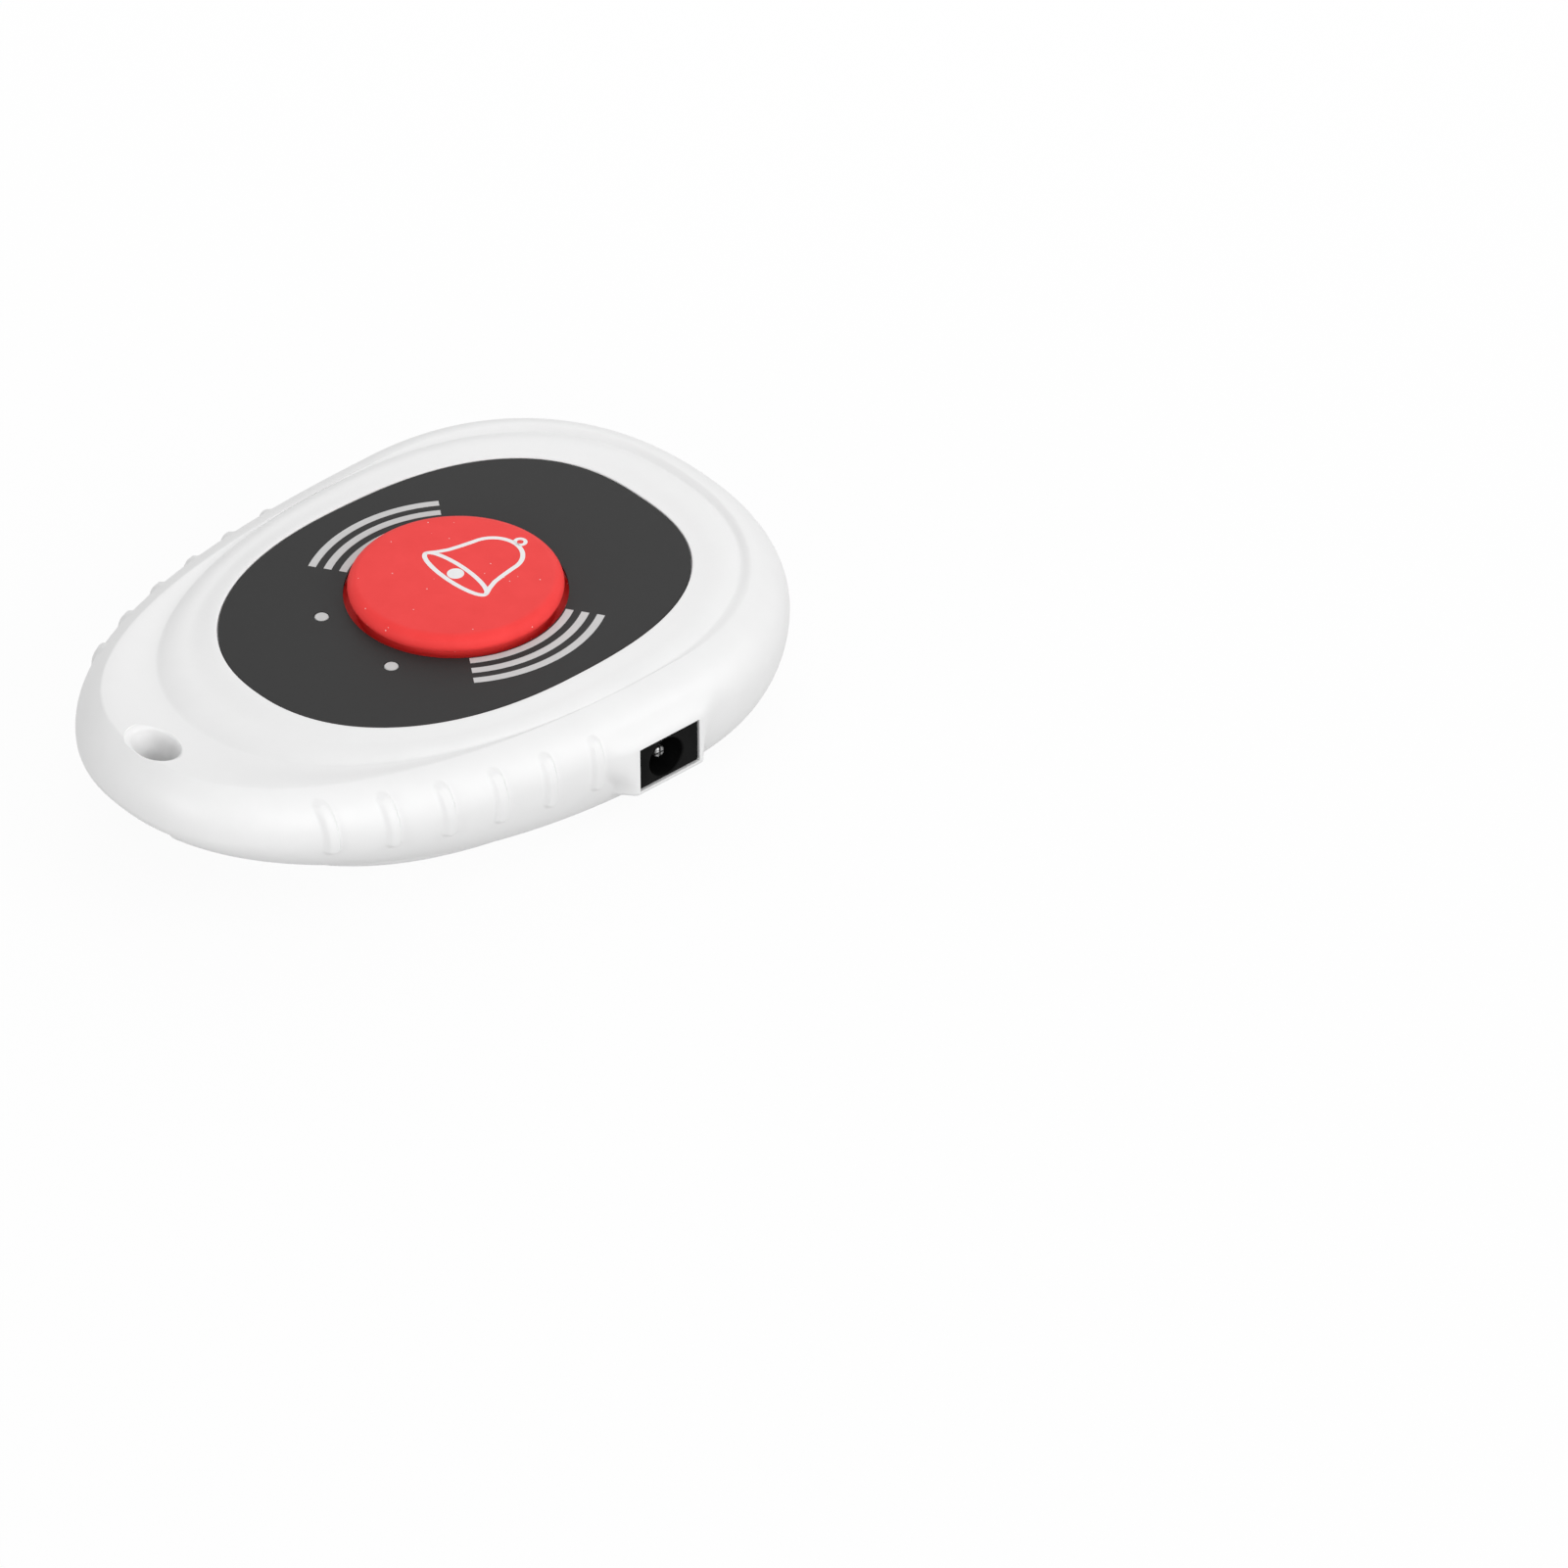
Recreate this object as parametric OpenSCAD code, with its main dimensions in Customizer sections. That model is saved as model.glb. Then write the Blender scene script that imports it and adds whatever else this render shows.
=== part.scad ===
// Wireless call button: an egg-shaped hand-held case with one large round push button.
// All lengths are in millimetres. +Z is up, +Y points to the wide end of the case and
// +X to the side with the charging socket. The origin lies on the resting face, on the
// axis of the button.

/* [Case outline] */
// Width of the case at its widest line
case_width = 54.9; // [51:0.1:60]
// Length from the widest line to the wide end
wide_end_length = 25.2; // [23.5:0.1:28.2]
// Length from the widest line to the lanyard end
lanyard_end_length = 53; // [50.2:0.1:58]
// Distance of the widest line from the button axis
widest_line_y = 9.4; // [8.4:0.1:10.4]
// Bluntness of the wide end, 2 is an ellipse
wide_bluntness = 2.2; // [2.05:0.05:2.4]
// Bluntness of the lanyard end, 2 is an ellipse
lanyard_bluntness = 2.3; // [2.15:0.05:2.45]
// Wall thickness of the shells
wall = 2; // [1.6:0.1:2.2]

/* [Case heights] */
// Rim crest above the printed face at the lanyard end
rim_rise_lanyard = 0.25; // [0.1:0.05:0.5]
// Rim crest above the printed face beside the button
rim_rise_middle = -0.5; // [-0.7:0.05:-0.2]
// Rim crest above the printed face at the wide end
rim_rise_wide = 0.4; // [0.2:0.05:0.8]
// Underside of the rim below the printed face at the lanyard end
rim_drop_lanyard = 8.1; // [7.8:0.1:8.6]
// Underside of the rim below the printed face beside the button
rim_drop_middle = 13.5; // [13:0.1:14.5]
// Underside of the rim below the printed face at the wide end
rim_drop_wide = 11.6; // [11:0.1:12.4]
// Parting plane of the two shells below the printed face
parting_drop = 5; // [4.6:0.1:5.4]
// Height of the belly that stands out below the rim
belly_height = 1.5; // [1.3:0.1:2]
// Thickness of the belly's floor
floor_thickness = 1.5; // [1.2:0.1:1.7]

/* [Rim and platform] */
// Rim width at the wide end, from the groove to the outline
rim_width_wide = 4.7; // [4.5:0.1:5.2]
// Rim width at the sides, from the groove to the outline
rim_width_side = 4; // [3.95:0.05:4.4]
// Length of the flat tab at the lanyard end, from the groove to the outline
tab_length = 9.7; // [9.2:0.1:10.4]
// Depth of the groove below the rim's crest at the sides
groove_depth = 0.1; // [0.05:0.05:0.25]
// Depth of the groove below the rim's crest at the wide end
wide_groove_depth = 0.25; // [0.15:0.05:0.4]
// Depth of the groove below the rim's crest at the foot of the tab
tab_groove_depth = 0.6; // [0.4:0.05:0.8]
// Width of the rim's upper rounding at the sides
rim_round = 3.8; // [3.4:0.1:3.8]
// Width of the rim's upper rounding at the lanyard end
tab_round = 2.6; // [2.2:0.1:3]
// Bluntness of the rim's upper rounding, 2 is an ellipse
rim_bluntness = 2; // [1.8:0.05:2.2]
// Width of the rim's lower rounding
under_round = 4.8; // [4.4:0.1:5.2]

/* [Printed face] */
// Width of the film
face_width = 38.3; // [37:0.1:40]
// Length of the film
face_length = 51; // [49:0.1:52]
// Thickness of the film
film_thickness = 0.3; // [0.2:0.05:0.4]
// Thickness of the deck under the film
deck_thickness = 1.5; // [1.2:0.1:1.7]

/* [Push button] */
// Diameter of the button
button_d = 22.2; // [19:0.1:23]
// Height of the button above the film
button_rise = 2; // [1.4:0.1:2.4]
// Travel of the button
button_travel = 0.5; // [0.3:0.05:0.6]
// Width of the retaining flange beyond the button's side
button_flange = 1.5; // [1.4:0.1:2]
// Gap between the button and the edge of its hole
button_gap = 0.45; // [0.3:0.05:0.6]

/* [Light windows] */
// Diameter of each light window
window_d = 1.5; // [1.2:0.1:1.8]
// Distance between the two windows
window_pitch = 11.2; // [10:0.1:13]
// Distance of the windows from the button axis, towards the lanyard end
window_back = 13.1; // [12.5:0.1:14.5]

/* [Lanyard hole] */
// Diameter of the lanyard hole
lanyard_hole_d = 3.9; // [3.6:0.1:4.3]
// Width of the hole's oval mouth
lanyard_mouth_width = 6; // [5.4:0.1:6.6]
// Distance of the hole's axis from the lanyard end
lanyard_edge = 4.7; // [4.4:0.1:5]
// Width of the notch for the cord, in the lower shell under the tab
notch_width = 13; // [11:0.1:14]
// Height of the notch's roof below the parting plane
notch_drop = 1; // [0.6:0.1:1.4]

/* [Grip ribs] */
// Number of ribs on each side
rib_count = 6; // [3:1:6]
// Distance between ribs
rib_pitch = 5.6; // [4.5:0.05:5.7]
// Distance of the first rib from the button axis, towards the lanyard end
rib_first = 3.9; // [3.2:0.1:4.6]
// Width of a rib
rib_width = 1.1; // [0.6:0.1:1.4]
// Height of a rib above the rim
rib_height = 0.35; // [0.2:0.05:0.5]

/* [Charging socket] */
// Width of the socket's body
socket_width = 7.7; // [7.2:0.1:8.2]
// Height of the socket's body
socket_height = 5; // [4.9:0.1:5.2]
// Length of the socket's body
socket_length = 10.9; // [10:0.1:11.4]
// Diameter of the socket's mouth
socket_mouth_d = 4.4; // [4:0.05:4.5]
// Diameter of the centre pin
socket_pin_d = 1.3; // [1.1:0.05:1.5]
// Height of the socket's axis above the resting face
socket_axis_z = 7.75; // [7.6:0.05:8.2]
// Distance of the socket's middle from the button axis, towards the wide end
socket_y = 4.45; // [4:0.05:5]
// Stand of the bezel beyond the widest outline of the case
bezel_stand = 0.8; // [0.5:0.05:1]
// Width of the bezel below the socket
bezel_lip = 0.65; // [0.5:0.05:0.9]
// Width of the bezel beside the socket
bezel_side = 1.3; // [0.9:0.1:1.6]

/* [Circuit board] */
// Thickness of the board
board_thickness = 1.6; // [1.2:0.1:1.7]
// Side of the square push switch
switch_size = 6; // [5.6:0.1:6.4]
// Height of the push switch with its plunger
switch_height = 5; // [4.6:0.1:5.2]
// Diameter of the switch plunger
plunger_d = 3.5; // [3:0.1:3.6]
// Diameter of an indicator lamp
lamp_d = 2.9; // [2.6:0.1:3]
// Width of the battery
battery_width = 22; // [18:0.5:22]
// Length of the battery
battery_length = 12; // [9:0.5:12.5]
// Thickness of the battery
battery_thickness = 4; // [2.5:0.1:5]

/* [Screws] */
// Thread diameter of the case screws
screw_d = 2; // [1.6:0.1:2.2]
// Head diameter of the case screws
screw_head_d = 3.6; // [3.2:0.1:3.8]
// Distance between the two screws near the wide end
screw_pitch_wide = 28; // [27.6:0.1:28.6]
// Distance between the two screws near the lanyard end
screw_pitch_lanyard = 25; // [22:0.1:26]

/* [Hidden] */

$fn = 64;

// Fits and clearances
film_clearance = 0.1;
pin_clearance = 0.05;
board_clearance = 0.4;
stop_gap = 0.05;
socket_clearance = 0.1;
lead_clearance = 0.12;
screw_clearance = 0.2;
thread_clearance = 0.03;
seat_gap = 0.3;
overlap = 0.5;
cut_margin = 1;

// Heights above the resting face
lip_rise = 0.1;
face_z = rim_drop_middle + belly_height;
parting_z = face_z - parting_drop;
recess_z = face_z - film_thickness;
roof_z = recess_z - deck_thickness;
lip_z = face_z + lip_rise;
board_top = socket_axis_z - socket_height / 2;
board_bottom = board_top - board_thickness;
button_top = face_z + button_rise;
flange_top = roof_z - stop_gap;
plunger_top = board_top + switch_height;
tail_reach = 0.7;
tail_z = max(board_bottom - tail_reach, belly_height + floor_thickness + lead_clearance);

// Ends of the case along Y
wide_end_y = widest_line_y + wide_end_length;
lanyard_end_y = widest_line_y - lanyard_end_length;
case_half = case_width / 2;

// Lanyard hole and the end of the inner space beside it
lanyard_y = lanyard_end_y + lanyard_edge;
lanyard_web = 3.4;
lanyard_r = lanyard_hole_d / 2;
cavity_end_y = lanyard_y + lanyard_r + lanyard_web;
notch_past = 1;
mouth_depth = 2;
mouth_lip = 0.5;
mouth_lip_z = face_z - 0.9 * mouth_lip;
mouth_steps = [0.3, 0.7, 1];
mouth_gain = 0.15;

// Plan curves: [half width, reach to +Y, reach to -Y, widest y, bluntness to +Y, bluntness to -Y]
groove_shift = 6.4;
groove_y = widest_line_y - groove_shift;
face_y = -0.63;
face_bluntness = [2.55, 2.2];
groove_bluntness = [2.35, 2.1];
belly_bluntness = 2.2;
belly_step_side = 1.15;
belly_step_wide = 1.4;
belly_step_lanyard = 2.1;
belly_inset_side = under_round + belly_step_side;
belly_inset_wide = under_round + belly_step_wide;
belly_inset_lanyard = tab_length + belly_step_lanyard;
belly_edge = min(1.2, 0.8 * belly_height);

case_curve = [case_half, wide_end_length, lanyard_end_length, widest_line_y,
    wide_bluntness, lanyard_bluntness];
groove_curve = [case_half - rim_width_side, wide_end_y - rim_width_wide - groove_y,
    groove_y - lanyard_end_y - tab_length, groove_y, groove_bluntness[0], groove_bluntness[1]];
face_curve = [face_width / 2, face_length / 2, face_length / 2, face_y,
    face_bluntness[0], face_bluntness[1]];
film_curve = shrink(face_curve, film_clearance);
cavity_curve = [case_half - wall, wide_end_length - wall, widest_line_y - cavity_end_y,
    widest_line_y, wide_bluntness, lanyard_bluntness];
belly_curve = [case_half - belly_inset_side, wide_end_y - belly_inset_wide,
    -lanyard_end_y - belly_inset_lanyard, 0, belly_bluntness, belly_bluntness];
well_curve = shrink(belly_curve, wall);
board_curve = shrink(well_curve, board_clearance);
bore_curve = [lanyard_r, lanyard_r, lanyard_r, lanyard_y, 2, 2];
mouth_curve = [lanyard_mouth_width / 2, lanyard_r + mouth_gain, lanyard_r + mouth_gain, lanyard_y, 2, 2];

// Loft settings
station_count = 72;
stations = [for (i = [0 : station_count - 1]) 360 * i / station_count];
round_steps = [90 : -15 : 0];
platform_steps = [0, 0.2, 0.4, 0.6, 0.8, 0.92, 1];
platform_crest_at = 0.5;
platform_crest = [-0.05, -0.05, 0.45];
groove_power = 2.5;
groove_fillet = [0.5, 0.3];
roof_corner = 1.2;
shelf_at = 0.35;

// Ribs: angles on the rim's rounding at their lower and upper ends, for the first and the last rib
rib_from = [-22, -16];
rib_to = [40, 56];
rib_root = 0.6;
rib_steps = 10;

// Charging socket
socket_recess = 0.1;
socket_face_x = case_half + bezel_stand - socket_recess;
socket_back_x = socket_face_x - socket_length;
socket_mouth_shift = 0.4;
socket_mouth_y = socket_y - socket_mouth_shift;
socket_back_wall = 1.5;
socket_pin_recess = 1;
bezel_face_x = case_half + bezel_stand;
bezel_root_x = case_half - 0.75 * wall;
bezel_corner = 1;
bezel_low_z = socket_axis_z - socket_height / 2 - socket_clearance - bezel_lip;
bezel_break_z = socket_axis_z + socket_height / 2;
bezel_slope = [1.3, 2.2];
bezel_high_z = bezel_break_z + bezel_slope.y;
blade = [7, 0.4, 1.8];
blade_bite = 0.15;
tail = [1.6, 0.5];
tail_inset = [1.6, 2.2];
tail_spread = 2.4;
tongue_overhang = 5.4;
tongue_margin = 1;

// Push button
button_r = button_d / 2;
button_edge = 1.2;
button_crown = 0.15;
button_skin = 2;
button_side = 1.5;
button_flange_thickness = 1;
stem_r = 2.5;
stem_root_r = 3.5;
edge_steps = 5;

// Push switch
cover_thickness = 0.4;
clip_thickness = 0.25;
clip_height = 2.2;
plunger_stand = 1.5;
plunger_flange = 0.45;
plunger_flange_thickness = 0.75;
plunger_gap = 0.1;
pocket_gap = 0.2;
dome_rest = 0.3;
dome_height = dome_rest + button_travel;
dome_thickness = 0.1;
dome_r = 2.1;
leg = [0.3, 0.7];
leg_pitch_y = 4.5;
leg_rise = 0.6;

// Lamps and their windows
window_flange = 0.25;
lamp_flange = 0.45;
lamp_flange_thickness = 1;
lamp_height = 5.3;
lamp_lead = 0.5;
lamp_lead_pitch = 2.54;

// Small parts on the board: places of their middles, sizes as [x, y, z]
part_stand = 0.1;
controller_at = [-11.5, 1];
controller_size = [3.9, 8.7, 1.5];
controller_leg_count = 7;
charger_at = [11, -5];
charger_size = [3.9, 4.9, 1.5];
charger_leg_count = 4;
chip_leg = [1, 0.4, 0.2];
chip_leg_pitch = 1.27;
resonator_at = [0, -19];
resonator_size = [5, 3.5, 1.5];
transistor_at = [6, -19];
transistor_size = [1.3, 2.9, 1];
transistor_leg_pitch = 1.9;
resistor_size = [1.6, 0.8, 0.45];
capacitor_size = [2, 1.25, 0.9];
resistor_count = 6;
resistor_pitch = 2.8;
resistor_first = [-7, 7];
resistor_places = [for (k = [0 : resistor_count - 1]) resistor_first + [k * resistor_pitch, 0]];
capacitor_count = 4;
capacitor_pitch = 4;
capacitor_first = [-6, -8];
capacitor_places = [for (k = [0 : capacitor_count - 1]) capacitor_first + [k * capacitor_pitch, 0]];

// Antenna coil
coil_r = 2;
coil_wire_r = 0.3;
coil_pitch = 1.2;
coil_turns = 9;
coil_y = -24;
coil_steps = 12;
coil_sides = 6;
coil_stand = 0.5;
coil_z = board_top + coil_r + coil_wire_r + coil_stand;

// Battery
tape_thickness = 0.4;
battery_y = 10.5;
battery_corner = 1.5;
battery_seal = [1.5, 0.6];
battery_z = board_top + tape_thickness;
battery_lead_r = 0.45;
battery_lead_pitch = 4;
battery_lead_bend = 0.7;

// Screws and their posts
screw_r = screw_d / 2;
screw_head_r = screw_head_d / 2;
screw_head_height = 1.2;
screw_sink = 0.4;
screw_slot = [1.4, 0.4];
screw_wide_y = 14.5;
screw_lanyard_y = -18;
screw_places = [for (side = [-1, 1]) each [[side * screw_pitch_wide / 2, screw_wide_y],
    [side * screw_pitch_lanyard / 2, screw_lanyard_y]]];
screw_seat_z = screw_sink + screw_head_height;
screw_bite = 5;
screw_tip_z = board_top + screw_bite;
boss_wall = 1.2;
boss_r = screw_r + boss_wall;
post_wall = 0.4;
post_r = screw_head_r + screw_clearance + post_wall;

window_places = [for (side = [-1, 1]) [side * window_pitch / 2, -window_back]];
switch_leg_places = [for (sx = [-1, 1], sy = [-1, 1])
    [sx * (switch_size + leg.x) / 2, sy * leg_pitch_y / 2]];
tail_places = [[socket_back_x + tail_inset[0], socket_y],
    for (side = [-1, 1]) [socket_back_x + tail_inset[1], socket_y + side * tail_spread]];

// Plain arithmetic
function mix(a, b, f) = a + (b - a) * f;
function smooth(f) = f * f * (3 - 2 * f);
function signed_power(v, e) = sign(v) * pow(abs(v), e);

// Value at y of the parabola through its values at the lanyard end, the button and the wide end
function along(y, lanyard, middle, wide) =
    lanyard * y * (y - wide_end_y) / (lanyard_end_y * (lanyard_end_y - wide_end_y))
    + middle * (y - lanyard_end_y) * (y - wide_end_y) / (lanyard_end_y * wide_end_y)
    + wide * y * (y - lanyard_end_y) / (wide_end_y * (wide_end_y - lanyard_end_y));

// Plan curves: two half superellipses that meet on their widest line
function shrink(c, d) = [c[0] - d, c[1] - d, c[2] - d, c[3], c[4], c[5]];
function reach(c, up) = up ? c[1] : c[2];
function bluntness(c, up) = up ? c[4] : c[5];
function egg_point(c, t) = let (up = sin(t) >= 0, e = 2 / bluntness(c, up))
    [c[0] * signed_power(cos(t), e), c[3] + reach(c, up) * signed_power(sin(t), e)];
function egg_normal(c, p) = let (up = p.y >= c[3], e = bluntness(c, up) - 1, r = reach(c, up),
    g = [signed_power(p.x / c[0], e) / c[0], signed_power((p.y - c[3]) / r, e) / r])
    g / norm(g);
function egg_side(c, y) = let (up = y >= c[3], n = bluntness(c, up))
    c[0] * pow(1 - pow(abs(y - c[3]) / reach(c, up), n), 1 / n);
function inset_point(c, t, d) = let (p = egg_point(c, t)) p - d * egg_normal(c, p);

// Heights of the outer skin
function rim_top(y) = face_z + along(y, rim_rise_lanyard, rim_rise_middle, rim_rise_wide);
function rim_bottom(y) = face_z - along(y, rim_drop_lanyard, rim_drop_middle, rim_drop_wide);
function groove_z(y) = rim_top(y) - along(y, tab_groove_depth, groove_depth, wide_groove_depth);
function crest_z(y) = face_z + along(y, platform_crest[0], platform_crest[1], platform_crest[2]);
function upper_round(y) = along(y, tab_round, rim_round, rim_round);
function platform_z(f, y) = f < platform_crest_at
    ? mix(lip_z, crest_z(y), smooth(f / platform_crest_at))
    : mix(crest_z(y), groove_z(y), pow((f - platform_crest_at) / (1 - platform_crest_at), groove_power));
function underside_z(d, outline_y, y) = d >= under_round ? rim_bottom(y)
    : parting_z - (parting_z - rim_bottom(outline_y)) * sqrt(1 - pow(1 - d / under_round, 2));

// Skin of the rim at an angle up or down from the parting plane, as [-inset, height above the plane]
function rim_skin(y, a) = let (up = a > 0, e = up ? 2 / rim_bluntness : 1,
    round = up ? upper_round(y) : under_round,
    rise = up ? rim_top(y) - parting_z : parting_z - rim_bottom(y))
    [round * (pow(cos(a), e) - 1), rise * signed_power(sin(a), e)];

// Rows of loft points, one point for each station
function level_row(c, z, d = 0) = [for (t = stations) let (p = inset_point(c, t, d)) [p.x, p.y, z]];
function platform_row(f) = [for (t = stations)
    let (p = mix(egg_point(face_curve, t), egg_point(groove_curve, t), f)) [p.x, p.y, platform_z(f, p.y)]];
function upper_rim_point(t, a) = let (e = egg_point(case_curve, t), q = rim_skin(e.y, a),
    p = inset_point(case_curve, t, -q.x))
    [p.x, p.y, parting_z + q.y];
function fillet_row() = [for (t = stations)
    let (g = egg_point(groove_curve, t), crest = upper_rim_point(t, 90),
        p = mix(g, [crest.x, crest.y], groove_fillet[0]))
    [p.x, p.y, mix(groove_z(g.y), crest.z, groove_fillet[1])]];
function lower_rim_row(a) = [for (t = stations) let (e = egg_point(case_curve, t),
    q = rim_skin(e.y, -a), p = inset_point(case_curve, t, -q.x))
    [p.x, p.y, parting_z + q.y]];
function belly_row() = [for (t = stations) let (p = egg_point(belly_curve, t)) [p.x, p.y, rim_bottom(p.y)]];
function shelf_row(f) = [for (t = stations) let (e = egg_point(case_curve, t),
    p = mix(egg_point(cavity_curve, t), egg_point(well_curve, t), f))
    [p.x, p.y, underside_z(norm(e - p), e.y, p.y) + floor_thickness]];

// A closed solid through rows of points, with flat caps on the first and the last row
module loft(rows) {
    n = station_count;
    last = len(rows) - 1;
    sides = [for (j = [0 : last - 1], i = [0 : n - 1]) let (k = (i + 1) % n)
        each [[j * n + i, j * n + k, (j + 1) * n + k], [j * n + i, (j + 1) * n + k, (j + 1) * n + i]]];
    first_cap = [for (i = [n - 1 : -1 : 0]) i];
    last_cap = [for (i = [0 : n - 1]) last * n + i];
    polyhedron(points = [for (row = rows) each row], faces = concat([first_cap], sides, [last_cap]));
}

module egg_plate(c, z, height) {
    translate([0, 0, z])
        linear_extrude(height)
            polygon([for (t = stations) egg_point(c, t)]);
}

module upright(place, z, height, r) {
    translate([place.x, place.y, z])
        cylinder(h = height, r = r);
}

// A block on the board, or on the height z, with its middle at a place
module block(place, size, z) {
    translate([place.x - size.x / 2, place.y - size.y / 2, z])
        cube(size);
}

module rounded_plate(size, r) {
    square([size.x - 2 * r, size.y], center = true);
    square([size.x, size.y - 2 * r], center = true);
    for (sx = [-1, 1], sy = [-1, 1])
        translate([sx * (size.x / 2 - r), sy * (size.y / 2 - r)])
            circle(r);
}

// What lies between two heights
module between(z_low, z_high) {
    span = 2 * (wide_end_length + lanyard_end_length);
    intersection() {
        union()
            children();
        translate([-span / 2, -span / 2, z_low])
            cube([span, span, z_high - z_low]);
    }
}

// Ribs stand across the case, and each follows the skin of the rim where it crosses it
module ribs() {
    for (k = [0 : rib_count - 1], side = [0, 1]) {
        y = -rib_first - k * rib_pitch;
        p = [egg_side(case_curve, y), y];
        slant = egg_normal(case_curve, p).x;
        ends = mix([rib_from[0], rib_to[0]], [rib_from[1], rib_to[1]], k / (rib_count - 1));
        skin = [for (s = [0 : rib_steps]) let (q = rim_skin(y, mix(ends[0], ends[1], s / rib_steps)))
            [q.x / slant, q.y]];
        outer = [for (q = skin) q + [rib_height, 0]];
        inner = [for (s = [rib_steps : -1 : 0]) skin[s] - [rib_root, 0]];
        mirror([side, 0, 0])
            translate([p.x, p.y, parting_z])
                rotate([90, 0, 0])
                    linear_extrude(rib_width, center = true)
                        polygon(concat(outer, inner));
    }
}

// Upright frame of the socket, whose face runs back into the rim above the opening
module bezel() {
    size = [socket_width + 2 * (socket_clearance + bezel_side), bezel_high_z - bezel_low_z];
    intersection() {
        translate([bezel_root_x, socket_y, bezel_low_z + size.y / 2])
            rotate([90, 0, 90])
                linear_extrude(bezel_face_x - bezel_root_x)
                    rounded_plate(size, bezel_corner);
        translate([0, socket_y + size.x, 0])
            rotate([90, 0, 0])
                linear_extrude(2 * size.x)
                    polygon([[bezel_root_x, bezel_low_z], [bezel_face_x, bezel_low_z],
                        [bezel_face_x, bezel_break_z], [bezel_face_x - bezel_slope.x, bezel_high_z],
                        [bezel_root_x, bezel_high_z]]);
    }
}

module socket_opening() {
    size = [bezel_face_x - bezel_root_x + 2 * wall, socket_width + 2 * socket_clearance,
        socket_height + 2 * socket_clearance];
    translate([bezel_root_x - wall, socket_y - size.y / 2, socket_axis_z - size.z / 2])
        cube(size);
}

// Round hole whose mouth widens to an oval with a rounded edge
module lanyard_bore() {
    upright([0, lanyard_y], 0, face_z + cut_margin, lanyard_r);
    mouth_z = mouth_lip_z - mouth_depth;
    loft(concat(
        [level_row(shrink(bore_curve, overlap / 2), mouth_z - overlap)],
        [for (f = mouth_steps) level_row(mix(bore_curve, mouth_curve, f), mix(mouth_z, mouth_lip_z, f))],
        [for (a = [30 : 30 : 90])
            level_row(mouth_curve, mouth_lip_z + mouth_lip * sin(a), -mouth_lip * (1 - cos(a)))],
        [level_row(mouth_curve, face_z + cut_margin, -mouth_lip)]));
}

module upper_shell() {
    rows = concat(
        [level_row(face_curve, recess_z)],
        [for (f = platform_steps) platform_row(f)],
        [fillet_row()],
        [for (a = round_steps) [for (t = stations) upper_rim_point(t, a)]],
        [level_row(cavity_curve, parting_z),
            level_row(cavity_curve, roof_z - roof_corner),
            level_row(cavity_curve, roof_z, roof_corner)]);
    color("white")
        difference() {
            union() {
                loft(rows);
                between(parting_z, face_z) {
                    ribs();
                    bezel();
                }
                for (place = screw_places)
                    upright(place, board_top, roof_z - board_top + overlap, boss_r);
            }
            upright([0, 0], roof_z - overlap, face_z, button_r + button_gap);
            for (place = window_places)
                upright(place, roof_z - overlap, face_z, window_d / 2 + window_flange + pin_clearance);
            for (place = screw_places)
                upright(place, board_top - cut_margin, screw_tip_z + cut_margin - board_top + seat_gap,
                    screw_r + thread_clearance);
            socket_opening();
            lanyard_bore();
        }
}

module lower_shell() {
    rows = concat(
        [level_row(well_curve, floor_thickness),
            shelf_row(1),
            shelf_row(shelf_at),
            shelf_row(0),
            level_row(cavity_curve, parting_z)],
        [for (a = [0 : 15 : 90]) lower_rim_row(a)],
        [belly_row(),
            level_row(belly_curve, belly_edge),
            level_row(belly_curve, 0.3 * belly_edge, 0.3 * belly_edge),
            level_row(belly_curve, 0, belly_edge)]);
    notch_length = lanyard_edge + lanyard_r + notch_past;
    color("white")
        difference() {
            union() {
                loft(rows);
                between(0, parting_z) {
                    ribs();
                    bezel();
                }
                for (place = screw_places)
                    upright(place, floor_thickness - overlap,
                        board_bottom - floor_thickness + overlap, post_r);
            }
            for (place = screw_places) {
                upright(place, -cut_margin, board_bottom + 2 * cut_margin, screw_r + screw_clearance);
                upright(place, -cut_margin, screw_seat_z + cut_margin, screw_head_r + screw_clearance);
            }
            translate([-notch_width / 2, lanyard_end_y - cut_margin, -cut_margin])
                cube([notch_width, notch_length + cut_margin, parting_z - notch_drop + cut_margin]);
            upright([0, lanyard_y], 0, parting_z + cut_margin, lanyard_r);
            socket_opening();
        }
}

module face_overlay() {
    color([0.27, 0.27, 0.28])
        difference() {
            egg_plate(film_curve, recess_z, film_thickness);
            upright([0, 0], recess_z - cut_margin, 2 * cut_margin, button_r + button_gap);
            for (place = window_places)
                upright(place, recess_z - cut_margin, 2 * cut_margin, window_d / 2 + pin_clearance);
        }
}

module led_windows() {
    color([0.75, 0.75, 0.75])
        for (place = window_places) {
            upright(place, roof_z, face_z - roof_z, window_d / 2);
            upright(place, roof_z, deck_thickness, window_d / 2 + window_flange);
        }
}

module call_button() {
    flange_r = button_r + button_flange;
    flange_bottom = flange_top - button_flange_thickness;
    skin_z = button_top - button_skin;
    edge = [for (s = [0 : edge_steps]) let (a = 90 * s / edge_steps)
        [button_r - button_edge * (1 - cos(a)), button_top - button_edge * (1 - sin(a))]];
    color([0.9, 0.15, 0.15])
        rotate_extrude()
            polygon(concat(
                [[0, plunger_top], [stem_r, plunger_top], [stem_root_r, skin_z],
                    [button_r - button_side, skin_z], [button_r - button_side, flange_bottom],
                    [flange_r, flange_bottom], [flange_r, flange_top], [button_r, flange_top]],
                edge,
                [[0, button_top + button_crown]]));
}

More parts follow.
